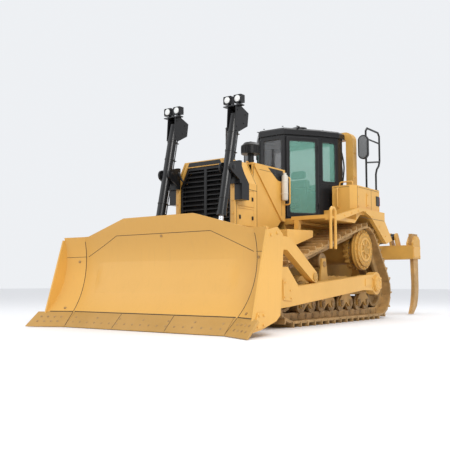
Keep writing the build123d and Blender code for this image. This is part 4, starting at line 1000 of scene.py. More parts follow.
@mirrored
def build_frame_plates(bm, side):
    """Bolted guards, recoil-spring cover and step pads along the roller frames."""
    middle = side * TRACK_X
    face = side * (TRACK_X + BOGIE_FACE)
    for start, end in ((-1.18, -0.72), (-0.44, 0.22), (0.3, 0.92)):
        outline = ((start, 0.575), (end, 0.575), (end, 0.672), (start + 0.03, 0.672))
        prism(bm, outline, "x", face, face + side * 0.01)
        for y in (start + 0.05, (start + end) / 2, end - 0.05):
            bolt(bm, (face + side * 0.01, y, 0.645), (side, 0, 0), 0.013)
    for start, end in ((-1.02, -0.74), (-0.3, 0.02), (0.14, 0.46)):
        block(bm, (middle - 0.105, start, 0.758), (middle + 0.105, end, 0.772))
        for across in (-0.085, 0.085):
            for y in (start + 0.03, end - 0.03):
                bolt(bm, (middle + across, y, 0.772), UP, 0.012)
    plug(bm, (middle, -0.66, 0.758), UP, 0.045, 0.02, 0.03, 0.03, 20, sunk=0)


@mirrored
def build_drive_bolts(bm, side):
    """Bolt rings, ribs and the fill plugs of the final drives."""
    out = (side, 0, 0)
    for x, pitch_radius, count, radius, start in (
        (1.24, 0.332, 20, 0.015, 0.0),
        (1.272, 0.262, 16, 0.013, 0.1),
        (1.287, 0.066, 6, 0.009, 0.0),
    ):
        bolt_circle(bm, (side * x, *DRIVE), out, pitch_radius, count, radius, start)
    ring = [(0.215, -0.002), (0.215, 0.01), (0.19, 0.014), (0.178, 0.01), (0.178, -0.002)]
    turned(bm, (side * 1.272, *DRIVE), out, ring, 44)
    hub = Vector((side * 1.275, *DRIVE))
    for number in range(6):
        angle = number * math.pi / 3 + 0.26
        along = Vector((0, math.cos(angle), math.sin(angle)))
        strip(bm, [hub + along * reach for reach in (0.095, 0.1375, 0.18)], out, 0.026, 0.022)
    for angle in (0.4, 2.5, 4.6):
        place = (side * 1.272, DRIVE[0] + 0.14 * math.cos(angle), DRIVE[1] + 0.14 * math.sin(angle))
        plug(bm, place, out, 0.016, 0.01, 0.01, 0.014, 12)
    rim = [(0.362, -0.004), (0.366, 0.0), (0.366, 0.018), (0.36, 0.022)]
    turned(bm, (side * 1.18, *DRIVE), out, rim, 60)


@mirrored
def build_sprocket_bolts(bm, side):
    """The bolts that hold the sprocket's segments."""
    for out in (-1, 1):
        centre = (side * TRACK_X + out * 0.04, *DRIVE)
        bolt_circle(bm, centre, (out, 0, 0), 0.293, 20, 0.013, math.radians(13))


class BULLDOZER_OT_tracks(bpy.types.Operator):
    """Dress the tracks, the roller frames and the final drives"""

    bl_idname = "bulldozer.tracks"
    bl_label = "Undercarriage"

    def execute(self, context):
        for side, hand in SIDES:
            piece(f"shoe_bolts_{hand}", CHASSIS, "track_steel", "Bolt steel", build_shoe_bolts, side=side)
            piece(f"track_pins_{hand}", CHASSIS, "track_steel", "Roller steel", build_link_pins, side=side)
            name = f"track_links_{hand}"
            piece(name, CHASSIS, "track_steel", "Track steel", build_link_plates, flat=True, side=side)
        piece("roller_caps", CHASSIS, "track_steel", "Roller steel", build_roller_caps)
        piece("frame_plates", CHASSIS, "yellow_paint", "Undercarriage paint", build_frame_plates, 0.002)
        piece("final_drive_bolts", CHASSIS, "yellow_paint", "Yellow paint", build_drive_bolts)
        piece("sprocket_bolts", CHASSIS, "track_steel", "Roller steel", build_sprocket_bolts)
        return {"FINISHED"}


# The hull, the radiator guard, the hood, the fenders and what stands on them.

GUARD_SIDE = 0.577
GUARD_FRONT = -2.11
GUARD_TOP = 2.56
GUARD_DOORS = ((1.526, 1.784), (1.826, 2.074))
HOOD_SIDE = 0.5
HOOD_TOP = 2.57
FENDER_SIDE = 1.4
BOX_SIDE = 1.3
RAIL_LAMP = (1.27, 3.12)

def build_name_bar(bm):
    """The blank bar over the grille."""
    prism(bm, ((-0.33, 2.484), (0.33, 2.484), (0.3, 2.546), (-0.3, 2.546)), "y", -2.118, -2.108)


@mirrored
def build_guard_doors(bm, side):
    """Access doors in the sides of the guard."""
    for low, high in GUARD_DOORS:
        prism(bm, rectangle((-2.024, low), (-1.596, high)), "x", side * 0.568, side * 0.58)


@mirrored
def build_guard_latches(bm, side):
    """Latches and hinges of the guard's doors."""
    x = side * 0.586
    for low, high in GUARD_DOORS:
        middle = (low + high) / 2
        for y in (-1.64, -1.98):
            block(bm, (x - 0.007, y - 0.016, middle - 0.03), (x + 0.007, y + 0.016, middle + 0.03))
            turned(bm, (side * 0.59, y, middle), (side, 0, 0), [(0.011, 0), (0.011, 0.008), (0, 0.01)], 12)


def build_guard_seams(bm):
    """Dark seams between the guard, its corner plates and the hood."""
    for side in (1, -1):
        for start, end in (
            ((-1.506, 1.2), (-1.506, 2.2)),
            ((-2.06, 1.24), (-2.06, 2.18)),
            ((-2.06, 2.112), (-1.506, 2.092)),
            ((-2.06, 1.47), (-1.506, 1.47)),
        ):
            side_seam(bm, side, GUARD_SIDE, start, end, 0.007)
        for y in (-1.8, -1.53):
            path = [(side * 0.574, y, 2.207), (side * 0.403, y, 2.5555)]
            strip(bm, path, (side * 0.36, 0, 0.177), 0.006)
    strip(bm, [(-0.395, -1.8, GUARD_TOP), (0.395, -1.8, GUARD_TOP)], UP, 0.006)
    for low, high in (
        ((-0.53, 1.225), (0.53, 1.225)),
        ((-0.545, 2.185), (-0.375, 2.53)),
        ((0.545, 2.185), (0.375, 2.53)),
    ):
        strip(bm, [(low[0], GUARD_FRONT, low[1]), (high[0], GUARD_FRONT, high[1])], FRONT, 0.006)


@mirrored
def build_guard_bolts(bm, side):
    """Bolts round the mouth of the guard and along its foot."""
    for z in (1.3, 1.5, 1.7, 1.9, 2.1):
        bolt(bm, (side * 0.543, GUARD_FRONT, z), FRONT, 0.012)
    for y in (-2.02, -1.88, -1.74, -1.6):
        bolt(bm, (side * GUARD_SIDE, y, 1.235), (side, 0, 0), 0.015)
        bolt(bm, (side * GUARD_SIDE, y, 1.41), (side, 0, 0), 0.011)
    for y in (-2.02, -1.6):
        bolt(bm, (side * 0.34, y, GUARD_TOP), UP, 0.012)


def grille_top(x, shoulder):
    """How high the mouth of the guard reaches at a distance from its middle."""
    return 2.44 - max(abs(x) - shoulder, 0) * 2.0


def build_grille_screen(bm):
    """An upright bar screen behind the grille's louvres."""
    for number in range(19):
        x = -0.45 + number * 0.05
        tube(bm, [(x, -2.02, 1.29), (x, -2.02, grille_top(x, 0.33))], 0.005, 6)


def build_radiator_core(bm):
    """The finned core behind the grille."""
    shoulder, top = (0.495, 2.15), (0.345, 2.45)
    outline = ((-0.495, 1.27), (0.495, 1.27), shoulder, top, (-0.345, 2.45), (-0.495, 2.15))
    prism(bm, outline, "y", -1.975, -1.945)
    for number in range(65):
        x = -0.48 + number * 0.015
        block(bm, (x - 0.002, -1.987, 1.28), (x + 0.002, -1.974, grille_top(x, 0.34)))


def build_hood_seams(bm):
    """Panel seams on the hood's sides and top."""
    for side in (1, -1):
        side_seam(bm, side, HOOD_SIDE, (-1.488, 1.5), (-1.488, 2.545), 0.007)
        side_seam(bm, side, HOOD_SIDE, (-1.48, 2.48), (-0.56, 2.48), 0.005)
        side_seam(bm, side, HOOD_SIDE, (-0.64, 1.76), (-0.64, 2.3), 0.005)
        strip(bm, [(side * 0.44, -1.49, HOOD_TOP), (side * 0.44, -0.5, HOOD_TOP)], UP, 0.005)
    strip(bm, [(-0.44, -1.15, HOOD_TOP), (0.44, -1.15, HOOD_TOP)], UP, 0.005)


@mirrored
def build_hood_fasteners(bm, side):
    """Bolts and lifting eyes of the hood."""
    for y in (-1.44, -1.2, -0.96, -0.72):
        bolt(bm, (side * 0.47, y, HOOD_TOP), UP, 0.01)
    for z in (1.56, 1.9, 2.24):
        bolt(bm, (side * HOOD_SIDE, -1.462, z), (side, 0, 0), 0.011)
    loop = ((0, 2.565), (0, 2.62), (0.06, 2.62), (0.06, 2.565))
    for y in (-1.4, -0.62):
        path = [(side * 0.3, y + ahead, z) for ahead, z in loop]
        tube(bm, rounded_path(path, 0.025), 0.009, 8)


@mirrored
def build_hood_plate(bm, side):
    """The blank dark panel near the top rear of the hood's sides."""
    outline = ((-1.06, 2.545), (-0.6, 2.545), (-0.6, 2.355), (-0.76, 2.365))
    prism(bm, outline, "x", side * 0.499, side * 0.505)


def build_canister(bm):
    """The pale canister beside the cab, with its cap and clamp bands."""
    x, y, z = 0.565, -0.64, 2.05
    profile = [(0.02, -0.02), (0.048, -0.01), (0.055, 0.02), (0.055, 0.38)]
    profile += [(0.05, 0.405), (0.03, 0.42), (0.03, 0.45), (0, 0.455)]
    turned(bm, (x, y, z), UP, profile, 28)
    for level in (z + 0.1, z + 0.3):
        clamp(bm, (x, y, level), 0.056, 0.059, 0.012, 0.004)
        block(bm, (0.495, y - 0.02, level - 0.012), (0.53, y + 0.02, level + 0.012))


def build_grab_loops(bm):
    """Grab rails on the hood beside the canister, at the cab and on the boxes."""
    loops = [[(x, -0.52, z) for x, z in ((0.5, 1.98), (0.59, 1.98), (0.59, 2.44), (0.5, 2.44))]]
    at_cab = ((0.485, 1.99), (0.42, 1.99), (0.42, 2.33), (0.485, 2.33))
    on_box = ((0.95, 2.375), (0.95, 2.46), (1.2, 2.46), (1.2, 2.375))
    for side in (1, -1):
        loops.append([(side * 1.0, y, z) for y, z in at_cab])
        loops.append([(side * x, 0.62, z) for x, z in on_box])
    for loop in loops:
        tube(bm, rounded_path(loop, 0.035), 0.013, 10)


def build_exhaust(bm):
    """The stack's foot ring and its bolts, its rolled rim and its clamp bands."""
    x, y = 0.225, -1.74
    foot = [(0.074, -0.002), (0.078, 0.006), (0.078, 0.03), (0.074, 0.036)]
    turned(bm, (x, y, 2.6), UP, foot, 32)
    bolt_circle(bm, (x, y, 2.6), UP, 0.079, 6, 0.006)
    rim = []
    for step in range(41):
        angle = 2 * math.pi * step / 40
        ahead = 0.07 * math.sin(angle)
        rim.append((x + 0.07 * math.cos(angle), y + ahead, 3.13 + 0.6 * ahead))
    tube(bm, rim, 0.005, 8)
    for z in (2.72, 2.86, 3.0):
        clamp(bm, (x, y, z), 0.0705, 0.073, 0.008, 0.004, 32)


def build_precleaner(bm):
    """Vanes, the clamp band and the centre knob of the air precleaner."""
    x, y = 0.075, -0.94
    for number in range(28):
        angle = 2 * math.pi * number / 28
        outward = Vector((math.cos(angle), math.sin(angle), 0))
        foot = Vector((x, y, HOOD_TOP + 0.275)) + outward * 0.1605
        strip(bm, [foot + Vector((0, 0, rise)) for rise in (0, 0.055, 0.11)], outward, 0.012, 0.01)
    clamp(bm, (x, y, HOOD_TOP + 0.15), 0.0555, 0.06, 0.015, 0.005)
    plug(bm, (x, y, HOOD_TOP + 0.45), UP, 0.03, 0.022, 0.02, 0.03, 20, sunk=0)
    rim = [(0.162, -0.006), (0.166, 0), (0.162, 0.008), (0.155, 0.01)]
    turned(bm, (x, y, HOOD_TOP + 0.398), UP, rim, 40)
    block(bm, (x - 0.075, y - 0.012, HOOD_TOP + 0.135), (x - 0.055, y + 0.012, HOOD_TOP + 0.165))


@mirrored
def build_walkways(bm, side):
    """Tread plates on the fenders, the steps and the boxes."""
    block(bm, (side * 0.73, -0.645, 1.746), (side * 1.32, 0.455, 1.7545))
    block(bm, (side * 0.89, 0.64, 2.378), (side * 1.2, 1.0, 2.384))


@mirrored
def build_step_treads(bm, side):
    """Punched treads on the sloped steps in front of the fenders."""
    for number in range(5):
        y = -1.4 + number * 0.155
        z = 1.4735 + (y + 1.49) * 0.0375
        block(bm, (side * 0.65, y, z - 0.004), (side * 1.09, y + 0.11, z + 0.005))


@mirrored
def build_fender_bolts(bm, side):
    """Bolts along the fenders' skirts and the boxes' edges."""
    skirt = ((-0.6, 1.712), (-0.44, 1.712), (-0.1, 1.775), (0.16, 1.84), (0.42, 1.9))
    skirt += ((0.72, 1.91), (1.02, 1.84), (1.3, 1.68), (1.56, 1.52))
    for y, z in skirt:
        bolt(bm, (side * FENDER_SIDE, y, z), (side, 0, 0), 0.012)
    for z in (2.01, 2.18, 2.34):
        for y in (0.64, 1.5):
            bolt(bm, (side * BOX_SIDE, y, z), (side, 0, 0), 0.01)


@mirrored
def build_fender_seams(bm, side):
    """Seams between the skirts and the boxes, and round the boxes' lids."""
    side_seam(bm, side, FENDER_SIDE, (0.5, 1.8), (1.52, 1.8))
    for y in (0.605, 1.18):
        side_seam(bm, side, BOX_SIDE, (y, 1.975), (y, 2.36))
    side_seam(bm, side, BOX_SIDE, (0.605, 2.35), (1.535, 2.35))
    strip(bm, [(side * 0.9, 0.48, 2.35), (side * 1.2, 0.48, 2.35)], FRONT, 0.006)


@mirrored
def build_box_details(bm, side):
    """Filler cap and bolted bracket plate of the boxes on the fenders."""
    plug(bm, (side * 1.06, 1.34, 2.38), UP, 0.07, 0.03, 0.055, 0.045, 24)
    outline = []
    for step in range(13):
        angle = math.pi * step / 12
        outline.append((1.02 + 0.045 * math.cos(angle), 2.24 + 0.045 * math.sin(angle)))
    outline += [(0.975, 2.02), (1.065, 2.02)]
    prism(bm, outline, "x", side * (BOX_SIDE - 0.001), side * (BOX_SIDE + 0.009))
    for z in (2.06, 2.24):
        bolt(bm, (side * (BOX_SIDE + 0.009), 1.02, z), (side, 0, 0), 0.012)


@mirrored
def build_side_plates(bm, side):
    """The blank dark plates on the rear corners of the boxes."""
    outline = ((1.39, 2.08), (1.52, 2.08), (1.535, 2.15), (1.52, 2.26), (1.39, 2.26))
    prism(bm, outline, "x", side * 1.299, side * 1.312)


@mirrored
def build_side_reflectors(bm, side):
    """The red strips behind the blank plates."""
    block(bm, (side * 1.255, 1.538, 2.09), (side * 1.309, 1.552, 2.25))


def build_tank_details(bm):
    """Straps and filler cap of the rear tank, and the bolts that hold it."""
    strap = ((1.853, 1.55), (1.932, 1.8), (1.903, 2.245), (1.842, 2.331), (1.2, 2.331))
    normals = [Vector(normal) for normal in ((0, 1, -0.2), (0, 1, 0), (0, 1, 0.2), (0, 0.6, 1), UP)]
    for side in (1, -1):
        for y in (1.6, 1.78):
            bolt(bm, (side * 0.69, y, 1.56), (side, 0, 0), 0.016)
        strip(bm, [(side * 0.45, y, z) for y, z in strap], normals, 0.07, 0.012)
    plug(bm, (0.2, 1.5, 2.33), UP, 0.075, 0.03, 0.06, 0.045, 28)


@mirrored
def build_tank_seams(bm, side):
    """The weld seams of the rear tank."""
    weld(bm, (side * 0.688, 1.906, 1.82), (side * 0.688, 1.88, 2.25), 0.007)
    weld(bm, (side * 0.688, 1.14, 2.328), (side * 0.688, 1.82, 2.328), 0.007)


def build_hull_bolts(bm):
    """Drain covers under the hull, and the bolts along its sides."""
    for y in (-1.3, -0.4, 0.5, 1.4):
        block(bm, (-0.26, y - 0.24, 0.61), (0.26, y + 0.24, 0.622))
        for x in (-0.22, 0.22):
            for ahead in (-0.2, 0.2):
                bolt(bm, (x, y + ahead, 0.61), (0, 0, -1), 0.014)
    for side in (1, -1):
        for y in (-1.85, -1.6, -1.35, -1.05, -0.75):
            bolt(bm, (side * 0.43, y, 1.12), (side, 0, 0), 0.016)


@mirrored
def build_rail_fittings(bm, side):
    """Foot plates of the rails and their bolts, and the clamps of the lamp housings."""
    for y in (1.06, 1.48):
        block(bm, (side * 1.225, y - 0.045, 2.376), (side * 1.299, y + 0.045, 2.388))
        for ahead in (-0.03, 0.03):
            bolt(bm, (side * 1.243, y + ahead, 2.388), UP, 0.008)
    for z in (2.98, 3.26):
        path = [(side * 1.27, 1.035, z), (side * 1.27, 1.06, z), (side * 1.27, 1.085, z)]
        tube(bm, path, 0.03, 12)


@mirrored
def build_rollover_feet(bm, side):
    """Bolted feet and gussets of the rollover structure."""
    block(bm, (side * 0.895, 0.965, 2.378), (side * 1.06, 1.175, 2.408))
    for x in (0.905, 1.05):
        for y in (0.975, 1.165):
            bolt(bm, (side * x, y, 2.408), UP, 0.013)
    for z in (2.6, 3.05):
        bolt(bm, (side * 1.04, 1.07, z), (side, 0, 0), 0.016)
    plug(bm, (side * 0.74, 1.07, 3.45), UP, 0.03, 0.012, 0.018, 0.016)


@mirrored
def build_lamp_bezels(bm, side):
    """Housings round the oval lamps on the rails."""
    x, z = side * RAIL_LAMP[0], RAIL_LAMP[1]
    ring = oval(x, z, 0.125, 0.09, 48)
    tube(bm, [(a, 0.93, b) for a, b in ring + [(x + 0.09, z - 0.125)]], 0.008, 8)
    for middle in (z - 0.1, z + 0.1):
        block(bm, (x - 0.05, 0.984, middle - 0.03), (x + 0.05, 1.04, middle + 0.03))


@mirrored
def build_rail_lenses(bm, side):
    """The dark faces of the oval housings, in two steps."""
    for radius, front in ((0.078, 0.925), (0.062, 0.921)):
        prism(bm, oval(side * RAIL_LAMP[0], RAIL_LAMP[1], 0.125, radius, 40, 0.5), "y", front, 0.932)


class BULLDOZER_OT_hull(bpy.types.Operator):
    """Dress the hull, the guard, the hood and the fenders"""

    bl_idname = "bulldozer.hull"
    bl_label = "Hull and Hood"

    def execute(self, context):
        for name, slot, finish, build, *bevel in (
            ("name_bar", "dark_paint", "Black paint", build_name_bar, 0.002),
            ("guard_doors", "yellow_paint", "Yellow paint", build_guard_doors, 0.003),
            ("guard_latches", "dark_paint", "Black paint", build_guard_latches, 0.001),
            ("guard_seams", "dark_plastic", "Dark seam", build_guard_seams),
            ("guard_bolts", "yellow_paint", "Yellow paint", build_guard_bolts),
            ("grille_screen", "dark_paint", "Grille black", build_grille_screen),
            ("radiator_core", "dark_paint", "Grille black", build_radiator_core),
            ("hood_seams", "dark_plastic", "Dark seam", build_hood_seams),
            ("hood_fasteners", "yellow_paint", "Yellow paint", build_hood_fasteners),
            ("hood_plates", "dark_paint", "Black paint", build_hood_plate, 0.001),
            ("canister", "chrome_rod", "Pale enamel", build_canister),
            ("grab_loops", "yellow_paint", "Yellow paint", build_grab_loops),
            ("exhaust_fittings", "dark_paint", "Soot steel", build_exhaust),
            ("precleaner_fittings", "dark_paint", "Black paint", build_precleaner),
            ("walkway_treads", "yellow_paint", "Walkway tread", build_walkways, 0.002),
            ("step_treads", "yellow_paint", "Walkway tread", build_step_treads, 0.002),
            ("fender_bolts", "yellow_paint", "Yellow paint", build_fender_bolts),
            ("fender_seams", "dark_plastic", "Dark seam", build_fender_seams),
            ("box_fittings", "yellow_paint", "Yellow paint", build_box_details, 0.002),
            ("side_plates", "dark_paint", "Black paint", build_side_plates, 0.002),
            ("side_reflectors", "lamp_glass", "Red reflector", build_side_reflectors, 0.002),
            ("tank_fittings", "yellow_paint", "Yellow paint", build_tank_details, 0.002),
            ("tank_welds", "yellow_paint", "Yellow paint", build_tank_seams),
            ("hull_covers", "yellow_paint", "Undercarriage paint", build_hull_bolts, 0.002),
            ("rail_fittings", "dark_paint", "Black paint", build_rail_fittings),
            ("rollover_feet", "yellow_paint", "Ripper paint", build_rollover_feet, 0.003),
            ("lamp_housings", "dark_paint", "Black paint", build_lamp_bezels),
            ("rail_lenses", "lamp_glass", "Mirror glass", build_rail_lenses, 0.002),
        ):
            piece(name, CHASSIS, slot, finish, build, *bevel)
        return {"FINISHED"}


# The cab, its doors and what is inside.

CAB_FRONT = -0.14
SEAT_PLAN = ((-0.245, 0.285), (0.245, 0.755))
SEAT_BACK = ((-0.23, 2.235), (0.23, 2.6))
DOOR = (Vector((0.25, -0.14, 0)), Vector((0.41, 0.55, 0)).normalized())
QUARTER = (Vector((0.66, 0.41, 0)), Vector((0.19, 0.35, 0)).normalized())
DOOR_FACE = 0.034
ROOF_TOP = 3.452


def wall_place(wall, run, height, out, side):
    """A point on a slanted cab wall: run along it, a height, and a distance out."""
    start, along = wall
    outward = Vector((along.y, -along.x, 0))
    place = start + along * run + outward * out
    return Vector((side * place.x, place.y, height))


def wall_path(wall, corners, out, side):
    """Points of a closed or open path on a slanted cab wall."""
    return [wall_place(wall, run, height, out, side) for run, height in corners]


def wall_outward(wall, side):
    """The outward direction of a slanted cab wall."""
    along = wall[1]
    return Vector((side * along.y, -along.x, 0))


def build_door_gasket(bm, side):
    """One door's gasket, its glazing bead and its seam."""
    outward = wall_outward(DOOR, side)
    glazing = rounded_corners((0.088, 1.888), (0.598, 3.192), 0.0, 0.045)
    tube(bm, wall_path(DOOR, glazing, 0.026, side), 0.009, 8)
    edge = rounded_corners((0.036, 1.821), (0.65, 3.259), 0.006, 0.03)
    strip(bm, wall_path(DOOR, edge, DOOR_FACE, side), outward, 0.006, 0.003)


def build_door_handle(bm, side):
    """One door's handle, its latch plate and its hinge leaves."""
    outward = wall_outward(DOOR, side)
    base = wall_place(DOOR, 0.062, 2.3, DOOR_FACE, side)
    plug(bm, base, outward, 0.02, 0.006, 0.012, 0.01, 18)
    grip = [(2.18, 0.03), (2.18, 0.062), (2.42, 0.062), (2.42, 0.03)]
    path = [wall_place(DOOR, 0.062, height, out, side) for height, out in grip]
    tube(bm, rounded_path(path, 0.018), 0.009, 10)
    for height in (2.02, 3.06):
        for along in (0.585, 0.615):
            for rise in (-0.03, 0.03):
                place = wall_place(DOOR, along, height + rise, DOOR_FACE, side)
                bolt(bm, place, outward, 0.007)


def build_door_rail(bm, side):
    """The grab rail across the inside of one door."""
    runs = [(0.08, 0.008), (0.08, -0.02), (0.606, -0.02), (0.606, 0.008)]
    path = [wall_place(DOOR, along, 2.33, out, side) for along, out in runs]
    tube(bm, rounded_path(path, 0.025), 0.011, 10)


def build_cab_gaskets(bm):
    """Glazing beads round the front, rear and quarter panes."""
    front = rounded_corners((-0.195, 2.35), (0.195, 3.23), 0.0, 0.04)
    tube(bm, [Vector((x, -0.136, z)) for x, z in front], 0.009, 8)
    rear = rounded_corners((-0.62, 2.5), (0.62, 3.22), 0.0, 0.05)
    tube(bm, [Vector((x, 0.936, z)) for x, z in rear], 0.009, 8)
    for side in (1, -1):
        quarter = rounded_corners((0.06, 2.48), (0.34, 3.2), 0.0, 0.04)
        tube(bm, wall_path(QUARTER, quarter, -0.004, side), 0.008, 8)


def build_cab_seams(bm):
    """Panel seams of the cab's posts, foot and front."""
    for side in (1, -1):
        path = wall_path(QUARTER, [(0.03, 2.44), (0.37, 2.44)], 0.0, side)
        strip(bm, path, wall_outward(QUARTER, side), 0.006, 0.003)
        side_seam(bm, side, 0.85, (0.79, 1.99), (0.79, 3.28), 0.006, 0.003)
        strip(bm, [(side * 0.23, CAB_FRONT, 2.3), (side * 0.23, CAB_FRONT, 1.8)], FRONT, 0.006, 0.003)
    strip(bm, [(-0.235, CAB_FRONT, 2.3), (0.235, CAB_FRONT, 2.3)], FRONT, 0.006, 0.003)


def build_cab_bolts(bm):
    """Bolts on the cab's front panel and along its foot."""
    for x in (-0.19, 0.19):
        for z in (1.86, 2.06, 2.26):
            bolt(bm, (x, CAB_FRONT, z), FRONT, 0.009)
    for side in (1, -1):
        outward = wall_outward(QUARTER, side)
        for height in (2.03, 2.4, 3.255):
            for run in (0.06, 0.33):
                bolt(bm, wall_place(QUARTER, run, height, 0.0, side), outward, 0.009)


def build_wipers(bm):
    """Wiper arms, blades and motor housings on the front pane."""
    for x, lean in ((-0.085, 0.1), (0.11, -0.12)):
        pivot = Vector((x, -0.14, 2.322))
        plug(bm, pivot, FRONT, 0.018, 0.016, 0.01, 0.022, 18)
        tip = Vector((x + lean, -0.145, 2.8))
        out = Vector((0, -0.014, 0))
        tube(bm, [pivot + out, pivot.lerp(tip, 0.5) + out, tip], 0.005, 8)
        start = Vector((x + lean * 1.25, -0.132, 2.56))
        end = Vector((x + lean * 0.75, -0.132, 3.06))
        strip(bm, [start, start.lerp(end, 0.5), end], FRONT, 0.01, 0.014)
        for share in (0.25, 0.75):
            strip(bm, [start.lerp(end, share - 0.02), start.lerp(end, share + 0.02)], FRONT, 0.018, 0.022)


def build_roof_trim(bm):
    """Gutter, panel ribs and bolts of the roof."""
    for x in (-0.42, 0.42):
        strip(bm, [(x, 0.02, 3.455), (x, 0.86, 3.455)], UP, 0.03, 0.01)
    for x, y in ((0.2, -0.1), (0.62, 0.62), (0.62, 0.88)):
        for across in (-x, x):
            plug(bm, (across, y, 3.453), UP, 0.016, 0.006, 0.01, 0.009, 14)
    gutter = ((0.27, -0.165), (0.69, 0.395), (0.885, 0.755), (0.885, 0.96))
    for side in (1, -1):
        normals = [(side, lean, 0) for lean in (-0.8, -0.7, -0.3, 0)]
        strip(bm, [(side * x, y, 3.31) for x, y in gutter], normals, 0.01, 0.008)


def build_roof_cap(bm):
    """The bright cap on the roof's disc."""
    profile = [(0.135, -0.004), (0.135, 0.006), (0.12, 0.014), (0.055, 0.017), (0.05, 0.012), (0, 0.012)]
    turned(bm, (0.36, 0.22, ROOF_TOP), UP, profile, 40)


def build_aerial(bm):
    """The short aerial beside the disc."""
    profile = [(0.022, 0), (0.022, 0.008), (0.012, 0.016), (0.01, 0.03), (0, 0.032)]
    turned(bm, (-0.3, 0.64, ROOF_TOP), UP, profile, 18)


def build_cab_hoses(bm):
    """The bundle of hoses and wires between the roof and the rollover structure."""
    hoses = ((0.7, 0.1), (0.735, 0.16), (0.77, 0.07), (-0.7, 0.13), (-0.745, 0.08))
    for number, (x, drop) in enumerate(hoses):
        top = 3.2 + 0.0036 * number
        points = [
            (x, 0.965, top),
            (x * 1.04, 1.01, 3.12 - drop * 0.4),
            (x * 1.08, 1.04, 2.9 - drop),
            (x * 1.06, 1.035, 2.6),
            (x * 1.02, 1.02, 2.37),
        ]
        tube(bm, smooth_path(points), 0.014)
        plug(bm, (x, 0.945, top), REAR, 0.022, 0.026, 0.017, 0.03, 6, sunk=0)


@mirrored
def build_rear_hoses(bm, side):
    """Hoses from the hull to the rear link's cylinders."""
    for x, rise in ((0.34, 0.0), (0.39, 0.04)):
        points = [
            (side * x, 1.935, 1.62 + rise),
            (side * x, 2.02, 1.7 + rise),
            (side * (x + 0.03), 2.1, 1.82 + rise),
            (side * (x + 0.02), 2.15, 1.7 + rise),
            (side * x, 2.17, 1.55),
        ]
        tube(bm, smooth_path(points), 0.016)
        plug(bm, (side * x, 1.918, 1.62 + rise), REAR, 0.024, 0.03, 0.019, 0.034, 6, sunk=0)


@mirrored
def build_guard_pipes(bm, side):
    """Steel pipes from the guard to the yokes of the lift cylinders."""
    bends = ((0, -2.113, 2.235), (0.01, -2.15, 2.26), (0.04, -2.165, 2.33))
    bends += ((0.075, -2.15, 2.395), (0.095, -2.118, 2.41))
    for across, rise in ((0.395, 0.0), (0.425, 0.03)):
        tube(bm, smooth_path([(side * (across + out), y, z + rise) for out, y, z in bends]), 0.012)


def build_consoles(bm):
    """Armrests, buttons and the display of the operator's place."""
    for side in (1, -1):
        block(bm, (side * 0.285, 0.5, 2.288), (side * 0.425, 0.735, 2.318))
        for number in range(4):
            place = (side * 0.355, 0.445 + number * 0.014, 2.288)
            turned(bm, place, UP, [(0.006, 0), (0.006, 0.008), (0, 0.009)], 10)
    outline = ((0.02, 2.38), (0.04, 2.38), (0.075, 2.56), (0.055, 2.565))
    prism(bm, outline, "x", -0.11, 0.11)
    for x in (-0.12, -0.04, 0.04, 0.12):
        block(bm, (x - 0.028, 0.085, 1.822), (x + 0.028, 0.15, 1.836))


@mirrored
def build_stick_knobs(bm, side):
    """Grips of the control sticks."""
    profile = [(0.014, -0.07), (0.02, -0.06), (0.022, -0.03), (0.019, 0)]
    profile += [(0.024, 0.02), (0.018, 0.038), (0, 0.042)]
    turned(bm, (side * 0.355, 0.4, 2.44), (0, -0.1, 1), profile, 18)


def cushion_mesh(bm, outline, low, high, crown):
    """A closed pillow: an outline with rounded corners between two levels, crowned on both faces."""
    rows = 10
    middle = Vector((*(sum(values) / len(outline) for values in zip(*outline)), 0))
    spans = [Vector((x, y, 0)) - middle for x, y in outline]
    rings = []
    for row in range(rows + 1):
        angle = math.pi * row / rows
        level = Vector((0, 0, low + (high - low) * (1 - math.cos(angle)) / 2))
        swell = 0.955 + 0.045 * math.sin(angle)
        rings.append([bm.verts.new(middle + span * swell + level) for span in spans])
    skin(bm, rings, closed=False)
    for edge, level, rise in ((rings[0], low, -crown), (rings[-1], high, crown)):
        shrunk = [edge]
        for share in (0.75, 0.5, 0.25):
            height = Vector((0, 0, level + rise * (1 - share**2)))
            shrunk.append([bm.verts.new(middle + span * 0.955 * share + height) for span in spans])
        skin(bm, shrunk, closed=False)
        peak = bm.verts.new(middle + Vector((0, 0, level + rise)))
        inner = shrunk[-1]
        for here in range(len(inner)):
            bm.faces.new((inner[here], inner[(here + 1) % len(inner)], peak))


def build_seat_cushion(bm):
    """The crowned cushion of the seat with its side bolsters."""
    cushion_mesh(bm, rounded_corners(*SEAT_PLAN, 0.0, 0.06)[:-1], 2.096, 2.19, 0.012)
    for low, high in ((0.15, 0.24), (-0.24, -0.15)):
        outline = rounded_corners((low, 0.33), (high, 0.7), 0.0, 0.035)[:-1]
        cushion_mesh(bm, outline, 2.14, 2.203, 0.006)


def lean_of_back(height):
    """How far back the seat's backrest stands at a height."""
    return 0.757 + (height - SEAT_BACK[0][1]) * 0.075


def build_seat_back(bm):
    """The crowned backrest with its side bolsters and head pad."""
    for low, high, thick, ahead in (
        (*SEAT_BACK, 0.085, 0.0),
        ((-0.15, 2.625), (0.15, 2.775), 0.07, -0.004),
        ((-0.232, 2.27), (-0.14, 2.56), 0.06, -0.03),
        ((0.14, 2.27), (0.232, 2.56), 0.06, -0.03),
    ):
        outline = rounded_corners(low, high, 0.0, min(0.05, (high[0] - low[0]) * 0.42))[:-1]
        before = len(bm.verts)
        cushion_mesh(bm, outline, -thick / 2, thick / 2, 0.008)
        for vertex in list(bm.verts)[before:]:
            x, z, out = vertex.co
            vertex.co = Vector((x, lean_of_back(z) + ahead - out, z))


